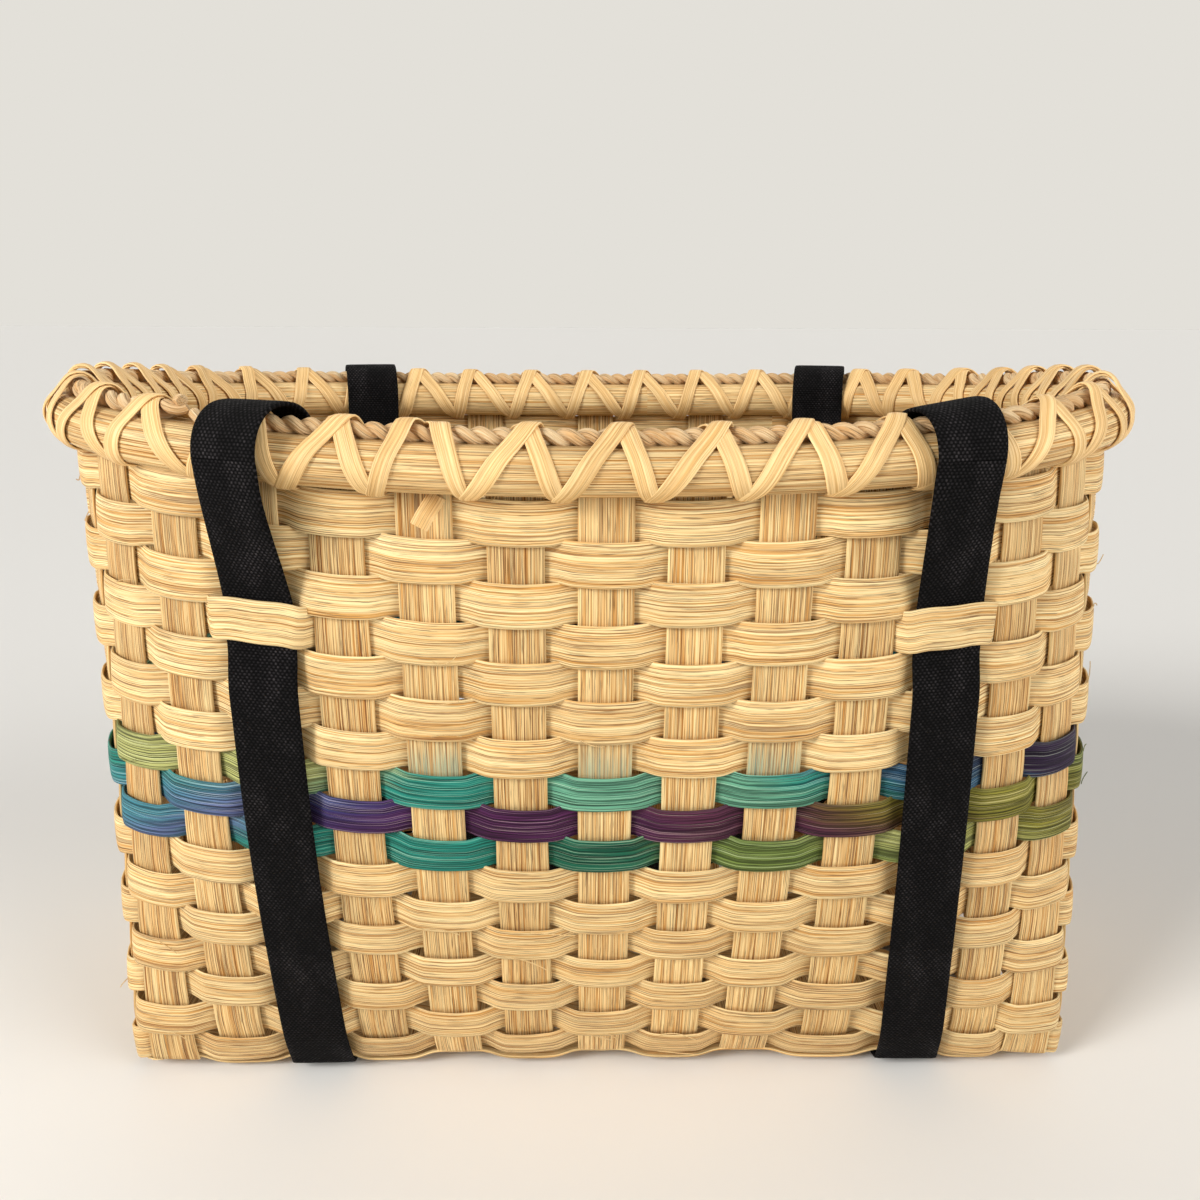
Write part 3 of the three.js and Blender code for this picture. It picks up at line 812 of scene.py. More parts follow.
@dataclass(frozen=True)
class BasketForm:
    """Plan, wall and rim of the basket, which every strip follows."""

    short_stakes: int = 13
    long_stakes: int = 6
    rows: int = 17
    stake_width: float = 17.6 * MM
    stake_space: float = 9.34 * MM
    weaver_width: float = 12.5 * MM
    base_corner: float = 6 * MM
    base_z: float = 4.25 * MM
    base_lift: float = 1.75 * MM
    first_row_z: float = 12.8 * MM
    row_pitch: float = 12.9 * MM
    rim_z: float = 237.2 * MM
    rim_row_z: float = 235.9 * MM
    stake_tip_z: float = 241 * MM
    end_flare: float = 8 * MM
    side_flare: float = 37 * MM
    rim_squareness: float = 3.2
    rim_samples: int = 401
    rim_reach: float = 0.15
    face_reach: float = 0.32
    wall_bow: float = 1.1
    end_rise: float = 12 * MM
    base_tuck: float = 5 * MM
    tuck_height: float = 24 * MM
    tuck_limit: float = 1.2
    corner_from: float = 0.62
    corner_run: float = 0.33
    corner_ease: float = 0.55
    base_dome: float = 1.5 * MM
    lower_rows: Zone = Zone(0, 3, 10.2, 1.8)
    lower_raise: float = 2.2 * MM
    lower_push: float = 3.5 * MM
    push_height: float = 125 * MM
    upper_raise: float = 0.9 * MM
    row_stagger: Table = ((7, 0.35 * MM), (8, 0.0), (10, 0.0), (11, 0.15 * MM))
    right_trim: float = 6.5 * MM
    trim_from: float = 105 * MM
    trim_run: float = 60 * MM
    back_rise: float = 0.3
    back_rise_from: float = -60 * MM
    back_rise_run: float = 160 * MM
    slips: Table = (
        (2, 0.0), (3, 2.8 * MM), (4, 0.0), (9.5, 0.0), (11, 8.7 * MM), (12, 6.6 * MM), (13, 0.0),
    )
    rim_slips: Table = ((2, 0), (3, 0.07), (4, 0), (10, 0), (11, -0.07), (12, 0))
    left_end: Zone = Zone(-7, 5, 6.6, 4.6)
    left_rise: Table = (
        (1, -2 * MM), (3, 0.4 * MM), (5, 2.8 * MM), (8, 4.2 * MM), (10, 4 * MM), (11.5, 2.6 * MM),
        (17, 1.6 * MM), (18, 0.0),
    )
    right_end: Zone = Zone(7.8, 4.4, 21, 5)
    right_rise: Table = (
        (1, -2.6 * MM), (2, -3.6 * MM), (3, -2.6 * MM), (4.5, -1 * MM), (6, 0.0), (8, 1 * MM),
        (11, 0.7 * MM), (14, 0.0),
    )
    back_top_rise: float = 1.6 * MM
    back_first: float = 18
    back_last: float = -5
    back_ease: float = 2
    number_seam: int = 12

    @property
    def stakes(self) -> int:
        """Stakes round the wall."""
        return 2 * (self.short_stakes + self.long_stakes)

    @property
    def pitch(self) -> float:
        """Distance between the middles of two stakes."""
        return self.stake_width + self.stake_space

    @property
    def front_middle(self) -> int:
        """Number of the stake in the middle of the front."""
        return (self.short_stakes + 1) // 2

    @property
    def corner_straight(self) -> float:
        """Straight run of the base outline from the last stake to its corner."""
        return (self.pitch - self.base_corner * math.pi / 2) / 2

    @property
    def half_length(self) -> float:
        """Half the length of the base."""
        return (self.short_stakes - 1) / 2 * self.pitch + self.corner_straight + self.base_corner

    @property
    def half_depth(self) -> float:
        """Half the depth of the base."""
        return (self.long_stakes - 1) / 2 * self.pitch + self.corner_straight + self.base_corner

    def row_height(self, row: int) -> float:
        """Height of the middle of a row; the row after the last sits behind the rim.

        Args:
            row: Number of the row.

        Returns:
            The height.
        """
        if row > self.rows:
            return self.rim_row_z
        lower = float(self.lower_rows.share(row))
        uneven = looked_up(self.row_stagger, row) * (1 if row % 2 else -1)
        level = self.first_row_z + (row - 1) * self.row_pitch
        return level + uneven + self.upper_raise + (self.lower_raise - self.upper_raise) * lower

    def row_level(self, row: int, stake: Any) -> np.ndarray:
        """Heights of the middle of a row at stake numbers, as it runs out of level towards the ends.

        Args:
            row: The row.
            stake: Stake numbers.

        Returns:
            The heights.
        """
        place = np.mod(np.asarray(stake, float) + self.number_seam, self.stakes) - self.number_seam
        left = self.left_end.share(place) * looked_up(self.left_rise, row)
        right = self.right_end.share(place) * looked_up(self.right_rise, row)
        before = eased((self.back_last - place) / self.back_ease)
        behind = before + eased((place - self.back_first) / self.back_ease)
        return self.row_height(row) + (left + right) + behind * self.back_top_rise * (row == self.rows)

    def row_at(self, height: np.ndarray) -> np.ndarray:
        """Row numbers, with parts of a row, at heights."""
        rows = np.arange(1, self.rows + 1)
        return np.interp(height, [self.row_height(row) for row in rows], rows)

    def slip(self, x: Any) -> Any:
        """How far stakes stand out of true along the base, by where they ought to stand."""
        return looked_up(self.slips, np.asarray(x) / self.pitch + self.front_middle)

    def dome(self, x: Any) -> Any:
        """How far the base is bowed up off the floor, by its distance along the basket."""
        return self.base_dome * np.clip(1 - (np.asarray(x) / self.half_length) ** 2, 0, 1)

    def apart(self, stake: Any, other: float) -> Any:
        """How far stake numbers lie past another, the short way round."""
        half = self.stakes / 2
        return (stake - other + half) % self.stakes - half

    @staticmethod
    def outside(stake: int, row: int) -> bool:
        """Whether a row passes outside a stake."""
        return (stake + row) % 2 == 1

    @cached_property
    def _quarter(self) -> tuple[np.ndarray, np.ndarray]:
        """Angles of a quarter of the rim, and the share of its length that each is at.

        Returns:
            Angles, and shares from 0 to 1.
        """
        angle = np.linspace(0, math.pi / 2, self.rim_samples)
        run = run_along(self._rim_at(angle))
        return angle, run / run[-1]

    def _rim_at(self, angle: np.ndarray) -> np.ndarray:
        """Plan points of the rim's front right quarter.

        Args:
            angle: Angles from the front to the right end.

        Returns:
            Points, one row each.
        """
        across = np.sin(angle) / (self.half_length + self.end_flare)
        deep = np.cos(angle) / (self.half_depth + self.side_flare)
        power = self.rim_squareness
        radius = (np.abs(across) ** power + np.abs(deep) ** power) ** (-1 / power)
        return np.stack([radius * np.sin(angle), -radius * np.cos(angle)], -1)

    def rim_plan(self, stake: np.ndarray) -> np.ndarray:
        """Plan points of the rim at stake numbers.

        Args:
            stake: Stake numbers.

        Returns:
            Points in X and Y.
        """
        stake = stake + looked_up(self.rim_slips, np.mod(stake, self.stakes))
        turn = np.mod((stake - self.front_middle) / (self.stakes / 4), 4)
        quarter = np.floor(turn)
        share = np.where(quarter % 2 == 0, turn - quarter, quarter + 1 - turn)
        angle, run = self._quarter
        point = self._rim_at(np.interp(share, run, angle))
        signs = np.stack([np.where(quarter < 2, 1, -1), np.where((quarter == 0) | (quarter == 3), 1, -1)], -1)
        return point * signs

    def base_plan(self, stake: np.ndarray) -> np.ndarray:
        """Plan points of the base outline at stake numbers.

        Args:
            stake: Stake numbers.

        Returns:
            Points in X and Y.
        """
        half = self.stakes // 2
        number = np.mod(stake - 1, self.stakes)
        place = np.where(number >= half, number - half, number)
        first_x = -(self.short_stakes - 1) / 2 * self.pitch
        first_y = -(self.long_stakes - 1) / 2 * self.pitch
        front = np.stack([first_x + place * self.pitch, np.full_like(place, -self.half_depth)], -1)
        end_y = first_y + (place - self.short_stakes) * self.pitch
        end = np.stack([np.full_like(place, self.half_length), end_y], -1)
        near = self._corner((place - self.short_stakes + 1) * self.pitch) + [-first_x, -self.half_depth]
        far = self._corner((half - place) * self.pitch) * [1, -1] + [-first_x, self.half_depth]
        zone = [place <= self.short_stakes - 1, place < self.short_stakes, place <= half - 1]
        point = np.select([z[..., None] for z in zone], [front, near, end], far)
        point = np.where((number >= half)[..., None], -point, point)
        return point + np.stack([self.slip(point[..., 0]), np.zeros_like(place)], -1)

    def _corner(self, run: np.ndarray) -> np.ndarray:
        """Path round a corner of the base: straight, arc, straight.

        Args:
            run: Distances from the stake before it.

        Returns:
            Points from that stake.
        """
        radius, straight = self.base_corner, self.corner_straight
        arc = radius * math.pi / 2
        angle = np.clip((run - straight) / radius, 0, math.pi / 2)
        along = np.minimum(run, straight) + radius * np.sin(angle)
        return np.stack([along, radius * (1 - np.cos(angle)) + np.maximum(run - straight - arc, 0)], -1)

    def wall(self, stake: Any, height: Any) -> np.ndarray:
        """Points on the middle of the wall.

        Args:
            stake: Stake numbers; whole ones are stakes, halves are the spaces between.
            height: Heights, which the ends stand above towards the rim.

        Returns:
            Points, one row each.
        """
        stake, height = np.broadcast_arrays(np.asarray(stake, float), np.asarray(height, float))
        share = (height - self.base_z) / (self.rim_z - self.base_z)
        blend = share + self.wall_bow * share * (1 - share)
        base, rim = self.base_plan(stake), self.rim_plan(stake)
        plan = base + (rim - base) * blend[..., None]
        plan = plan - self._tuck(plan, height)
        rise = self.end_rise * (share * plan[..., 0] / (self.half_length + self.end_flare)) ** 2
        behind = eased((plan[..., 1] - self.back_rise_from) / self.back_rise_run)
        rise = rise * (1 - (1 - self.back_rise) * behind)
        rise = rise + self.dome(plan[..., 0]) * np.clip(1 - share, 0, 1) ** 3
        right = eased((plan[..., 0] - self.trim_from) / self.trim_run)
        plan[..., 0] -= self.right_trim * np.clip(share, 0, None) ** 2 * right
        return np.concatenate([plan, (height + rise)[..., None]], -1)

    def _tuck(self, plan: np.ndarray, height: np.ndarray) -> np.ndarray:
        """How far the wall curves in towards the base, past the last stake of each side.

        Args:
            plan: Plan points of the wall.
            height: Their heights.

        Returns:
            Distances in X and Y, with the signs of the points.
        """
        last = np.array([self.short_stakes - 1, self.long_stakes - 1]) / 2 * self.pitch
        reach = np.array([self.half_length, self.half_depth]) - last
        past = np.clip((np.abs(plan) - last) / reach, 0, 1)
        low = np.clip(1 - (height - self.base_z) / self.tuck_height, 0, self.tuck_limit)
        depth = self.base_tuck * low**2
        corner = eased((np.abs(plan) / (last + reach) - self.corner_from) / self.corner_run)[..., ::-1]
        push = self.lower_push * (1 - eased((height - self.base_z) / self.push_height))
        pushed = np.stack([np.zeros_like(push), push], -1)
        return np.sign(plan) * past * (depth[..., None] * (1 - self.corner_ease * corner) + pushed)

    def ways(self, stake: Any, height: Any, reach: float = 0.06) -> tuple[np.ndarray, np.ndarray, np.ndarray]:
        """Directions along, up and out of the wall.

        Args:
            stake: Stake numbers.
            height: Heights.
            reach: Share of a stake's pitch that the direction along is taken over.

        Returns:
            Unit vectors along, up and out.
        """
        stake = np.asarray(stake, float)
        along = unit(self.wall(stake + reach, height) - self.wall(stake - reach, height))
        rise = unit(self.wall(stake, np.asarray(height) + MM) - self.wall(stake, np.asarray(height) - MM))
        out = unit(np.cross(along, rise))
        return along, np.cross(out, along), out

    def rim_point(self, stake: Any, distance: Any, above: Any) -> np.ndarray:
        """Points of the rim.

        Args:
            stake: Stake numbers.
            distance: Distances out from the wall.
            above: Heights above the middle of the rim.

        Returns:
            Points, one row each.
        """
        points = self.wall(stake, self.rim_z) + self.rim_out(stake) * np.asarray(distance)[..., None]
        points[..., 2] += above
        return points

    def rim_out(self, stake: Any) -> np.ndarray:
        """Level directions out of the rim at stake numbers.

        Args:
            stake: Stake numbers.

        Returns:
            Directions of length one.
        """
        stake = np.asarray(stake, float)
        reach = self.rim_reach
        along = self.wall(stake + reach, self.rim_z) - self.wall(stake - reach, self.rim_z)
        return unit(np.stack([along[..., 1], -along[..., 0], np.zeros_like(stake)], -1))


FORM = BasketForm()


# Strips


class Section(Enum):
    """Cross-section of a strip: width, thickness, squareness of corners, crown, and a flat back or none."""

    WEAVER = (12.9 * MM, 1.05 * MM, 0.42, 0.22 * MM, 0)
    STAKE = (17.6 * MM, 1.2 * MM, 0.36, 0.15 * MM, 0)
    LASHING = (5.9 * MM, 0.85 * MM, 0.6, 0.15 * MM, 0)
    HALF_ROUND = (15.3 * MM, 16 * MM, 0.92, 0.0, 1)
    WEBBING = (23.5 * MM, 1.6 * MM, 0.3, 0.0, 0)


@dataclass
class Spine:
    """Path of one strip: where it runs, which way its face looks, and how it changes along its length."""

    points: np.ndarray
    facing: np.ndarray
    tone: float = 0.5
    start: float = 0.0
    spread: Any = 0.0
    thin: Any = 0.0
    place: Any = 0.0
    bleed: Any = 0.0

    def travel(self) -> np.ndarray:
        """Unit directions along the path."""
        steps = unit(np.diff(self.points, axis=0))
        return unit(np.concatenate([steps[:1], steps[:-1] + steps[1:], steps[-1:]]))

    def attributes(self) -> dict[str, np.ndarray]:
        """What the strip tree reads at each point of the path.

        Returns:
            Values at each point, by attribute name.
        """
        count = len(self.points)
        travel = self.travel()
        facing = unit(self.facing - travel * np.sum(self.facing * travel, axis=1, keepdims=True))
        varied = ("tone", "spread", "thin", "place", "bleed")
        full = {name: np.broadcast_to(getattr(self, name), (count,)) for name in varied}
        along = run_along(self.points) + self.start
        return {"facing": facing, "across": np.cross(travel, facing), "along": along, **full}


class PathMesh:
    """Turns spines into an object whose edges a geometry tree follows."""

    @staticmethod
    def make(name: str, spines: Sequence[Spine]) -> bpy.types.Object:
        """Makes the object.

        Args:
            name: Its name.
            spines: Paths, each an open line of edges.

        Returns:
            The object, linked to the scene.
        """
        mesh = bpy.data.meshes.new(name)
        starts = np.cumsum([0] + [len(spine.points) for spine in spines])
        edges = [(at, at + 1) for first, last in zip(starts, starts[1:]) for at in range(first, last - 1)]
        mesh.from_pydata(np.concatenate([spine.points for spine in spines]).tolist(), edges, [])
        columns = [spine.attributes() for spine in spines]
        for key in columns[0]:
            values = np.concatenate([column[key] for column in columns]).astype(np.float32)
            vector = values.ndim == 2
            layer = mesh.attributes.new(key, "FLOAT_VECTOR" if vector else "FLOAT", "POINT")
            layer.data.foreach_set("vector" if vector else "value", values.ravel())
        item = bpy.data.objects.new(name, mesh)
        bpy.context.scene.collection.objects.link(item)
        return item


class GeometryBench(Bench):
    """A geometry tree with named inputs, which turns a path object into a plain mesh."""

    def __init__(self, name: str, inputs: Mapping[str, str]) -> None:
        """Makes a tree with a geometry input and the named ones.

        Args:
            name: The tree's name.
            inputs: Socket type of each named input.
        """
        super().__init__(bpy.data.node_groups.new(name, "GeometryNodeTree"))
        face = self.tree.interface
        face.new_socket("Geometry", in_out="OUTPUT", socket_type="NodeSocketGeometry")
        face.new_socket("Geometry", in_out="INPUT", socket_type="NodeSocketGeometry")
        self.keys = {}
        for key, kind in inputs.items():
            self.keys[key] = face.new_socket(key, in_out="INPUT", socket_type=kind).identifier
        self.source = self.tree.nodes.new("NodeGroupInput")

    def given(self, name: str) -> Wire:
        """One of the tree's inputs."""
        return Wire(self, self.source.outputs[name])

    def named(self, name: str, kind: str = "FLOAT") -> Wire:
        """Reads a named attribute."""
        return self.wire("GeometryNodeInputNamedAttribute", {"data_type": kind}, {"Name": name}, "Attribute")

    def store(self, geometry: Wire, name: str, value: Wire, kind: str = "FLOAT_VECTOR") -> Wire:
        """Stores a named attribute on the points of a geometry.

        Args:
            geometry: The geometry.
            name: The attribute's name.
            value: What to store.
            kind: The attribute's type.

        Returns:
            The geometry with the attribute.
        """
        inputs = {"Geometry": geometry, "Name": name, "Value": value}
        return self.wire("GeometryNodeStoreNamedAttribute", {"data_type": kind, "domain": "POINT"}, inputs)

    def end(self, geometry: Wire) -> None:
        """Ends the tree in smooth, real geometry with its material.

        Args:
            geometry: What the tree has made.
        """
        smooth = self.wire("GeometryNodeSetShadeSmooth", None, {"Geometry": geometry})
        real = self.wire("GeometryNodeRealizeInstances", None, {"Geometry": smooth})
        inputs = {"Geometry": real, "Material": self.given("Material")}
        dressed = self.wire("GeometryNodeSetMaterial", None, inputs)
        self.node("NodeGroupOutput", None, {"Geometry": dressed})

    def apply(self, item: bpy.types.Object, values: Mapping[str, Any]) -> bpy.types.Object:
        """Runs the tree on an object and keeps the result as a plain mesh.

        Args:
            item: Object that holds the path.
            values: Values of the tree's named inputs.

        Returns:
            The same object, with the new mesh and no modifier.
        """
        modifier = item.modifiers.new("shape", "NODES")
        modifier.node_group = self.tree
        for key, value in values.items():
            modifier[self.keys[key]] = value
        graph = bpy.context.evaluated_depsgraph_get()
        shown = item.evaluated_get(graph)
        made = bpy.data.meshes.new_from_object(shown, preserve_all_data_layers=True, depsgraph=graph)
        item.modifiers.remove(modifier)
        path, item.data = item.data, made
        bpy.data.meshes.remove(path)
        made.name = item.name
        return item


class StripTree(GeometryBench):
    """Sweeps a section along each path, and keeps the place on the strip as its grain."""

    CORNERS = 16

    def __init__(self) -> None:
        """Builds the tree."""
        floats = ("Width", "Thickness", "Squareness", "Crown", "Flat Back")
        kinds = {key: "NodeSocketFloat" for key in floats}
        super().__init__("strip", {**kinds, "Material": "NodeSocketMaterial"})
        curve = self.wire("GeometryNodeMeshToCurve", None, {"Mesh": self.given("Geometry")})
        facing, across = self.named("facing", "FLOAT_VECTOR"), self.named("across", "FLOAT_VECTOR")
        curve = self.wire("GeometryNodeSetCurveNormal", {"mode": "FREE"}, {"Curve": curve, "Normal": facing})
        sweep = {"Curve": curve, "Profile Curve": self._section(), "Fill Caps": True}
        swept = self.wire("GeometryNodeCurveToMesh", None, sweep)
        rise, aside, _ = self.split(self.named("section", "FLOAT_VECTOR"))
        wider = self.vector("SCALE", across, aside * self.named("spread"))
        thicker = self.vector("SCALE", facing, rise * self.named("thin"))
        offset = self.vector("ADD", wider, thicker)
        moved = self.wire("GeometryNodeSetPosition", None, {"Geometry": swept, "Offset": offset})
        self.end(self.store(moved, "grain", self.joined(self.named("along"), aside, rise)))

    def _section(self) -> Wire:
        """Section curve: a rounded bar, crowned, or cut to a half-round with a flat back.

        Returns:
            The curve.
        """
        size = {"Resolution": self.CORNERS, "Radius": 1.0}
        ring = self.wire("GeometryNodeCurvePrimitiveCircle", {"mode": "RADIUS"}, size)
        x, y, _ = self.split(self.wire("GeometryNodeInputPosition"))
        power = self.given("Squareness")
        aside = y.sign() * abs(y) ** power
        rise = x.sign() * abs(x) ** power
        rise = rise.at_least(self.given("Flat Back") - 1.0)
        crown = self.given("Crown") * (1.0 - aside * aside)
        thick = rise * self.given("Thickness") * 0.5 + crown
        place = self.joined(thick, aside * self.given("Width") * 0.5, 0.0)
        shaped = self.wire("GeometryNodeSetPosition", None, {"Geometry": ring, "Position": place})
        return self.store(shaped, "section", self.wire("GeometryNodeInputPosition"))

    def strip(
        self, name: str, spines: Sequence[Spine], section: Section, material: bpy.types.Material
    ) -> bpy.types.Object:
        """Makes a piece of one or more strips.

        Args:
            name: The piece's name.
            spines: Paths of its strips.
            section: Their cross-section.
            material: Their finish.

        Returns:
            The piece.
        """
        width, thickness, squareness, crown, flat = section.value
        sizes = {"Width": width, "Thickness": thickness, "Squareness": squareness, "Crown": crown}
        values = {**sizes, "Flat Back": float(flat), "Material": material}
        return self.apply(PathMesh.make(name, spines), values)


class RopeTree(GeometryBench):
    """Twists strands round each path."""

    CORNERS = 10

    def __init__(self) -> None:
        """Builds the tree."""
        kinds = {key: "NodeSocketFloat" for key in ("Strand Radius", "Lay Radius", "Lay Length")}
        super().__init__("rope", {"Strands": "NodeSocketInt", **kinds, "Material": "NodeSocketMaterial"})
        curve = self.wire("GeometryNodeMeshToCurve", None, {"Mesh": self.given("Geometry")})
        amount = {"Geometry": curve, "Amount": self.given("Strands")}
        copies = self.node("GeometryNodeDuplicateElements", {"domain": "SPLINE"}, amount)
        index = Wire(self, copies.outputs["Duplicate Index"])
        turn = self.named("along") / self.given("Lay Length") + index / self.given("Strands")
        angle = turn * (2 * math.pi)
        radius = self.given("Lay Radius")
        up = self.vector("SCALE", self.named("facing", "FLOAT_VECTOR"), angle.cosine() * radius)
        side = self.vector("SCALE", self.named("across", "FLOAT_VECTOR"), angle.sine() * radius)
        laying = {"Geometry": Wire(self, copies.outputs["Geometry"]), "Offset": self.vector("ADD", up, side)}
        laid = self.wire("GeometryNodeSetPosition", None, laying)
        size = {"Resolution": self.CORNERS, "Radius": self.given("Strand Radius")}
        ring = self.wire("GeometryNodeCurvePrimitiveCircle", {"mode": "RADIUS"}, size)
        ring = self.store(ring, "section", self.wire("GeometryNodeInputPosition"))
        sweep = {"Curve": laid, "Profile Curve": ring, "Fill Caps": True}
        swept = self.wire("GeometryNodeCurveToMesh", None, sweep)
        rise, aside, _ = self.split(self.named("section", "FLOAT_VECTOR"))
        self.end(self.store(swept, "grain", self.joined(self.named("along"), aside, rise)))


# Sub-assemblies


class Workshop:
    """Trees and finishes that the sub-assemblies share, and the dressing of finished pieces."""

    def __init__(self) -> None:
        """Builds the trees and an empty store of materials."""
        self.strips = StripTree()
        self.ropes = RopeTree()
        self._materials: dict[str, bpy.types.Material] = {}

    def material(self, finish: Any) -> bpy.types.Material:
        """The material of a finish, made once.

        Args:
            finish: The finish.

        Returns:
            Its material.
        """
        if finish.name not in self._materials:
            self._materials[finish.name] = finish.build()
        return self._materials[finish.name]

    @staticmethod
    def settle(piece: bpy.types.Object, slot: str, body: str, *nodes: str) -> None:
        """Puts a finished piece on its body in place of its frame nodes.

        Args:
            piece: The piece.
            slot: Material slot of the record; not used.
            body: Body that it moves with; empty where it already blends between two.
            nodes: Nodes that it stands for.
        """
        if body:
            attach(piece, body)
        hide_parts(*nodes)
        LOG.info("%s: %d faces for %s", piece.name, len(piece.data.polygons), ", ".join(nodes))


def wandering(rng: np.random.Generator, share: np.ndarray, waves: int, size: float) -> np.ndarray:
    """A smooth random line that closes on itself.

    Args:
        rng: Source of the random draws.
        share: Places, where 1 is once round.
        waves: Highest number of waves once round.
        size: Typical size of the line.

    Returns:
        The line at those places.
    """
    phase, height = rng.uniform(0, 2 * math.pi, waves), rng.normal(0, 1, waves)
    turns = np.arange(1, waves + 1)
    wave = np.sin(2 * math.pi * np.outer(share, turns) + phase)
    return size * math.sqrt(2 / waves) * np.sum(height * wave, axis=1)


@dataclass
class StrapPlan:
    """Where the two straps lie: the stakes under them, in order round the rim, and the rows over them."""

    stakes: tuple[int, ...] = (3, 11, 22, 30)
    front_keeper: int = 14
    back_keeper: int = 13

    def keeper(self, stake: int) -> int:
        """The row that holds the strap at a stake."""
        return self.front_keeper if BasketForm.outside(stake, self.front_keeper) else self.back_keeper


@dataclass(frozen=True)
class LooseFibre:
    """How fine fibres come loose along the edges of a row; pairs are the ends of a range."""

    points: int = 9
    start: Span = (-0.35, 0.1)
    length: Span = (0.15, 0.6)
    edge: float = 0.47
    drift: Span = (-3.5 * MM, 4.5 * MM)
    bend: float = 0.8 * MM
    stand: float = 0.5 * MM
    rise: Span = (0.6 * MM, 2.4 * MM)
    rise_power: float = 1.6
    narrow: float = -0.972
    taper: float = -0.014
    thin: float = -0.72


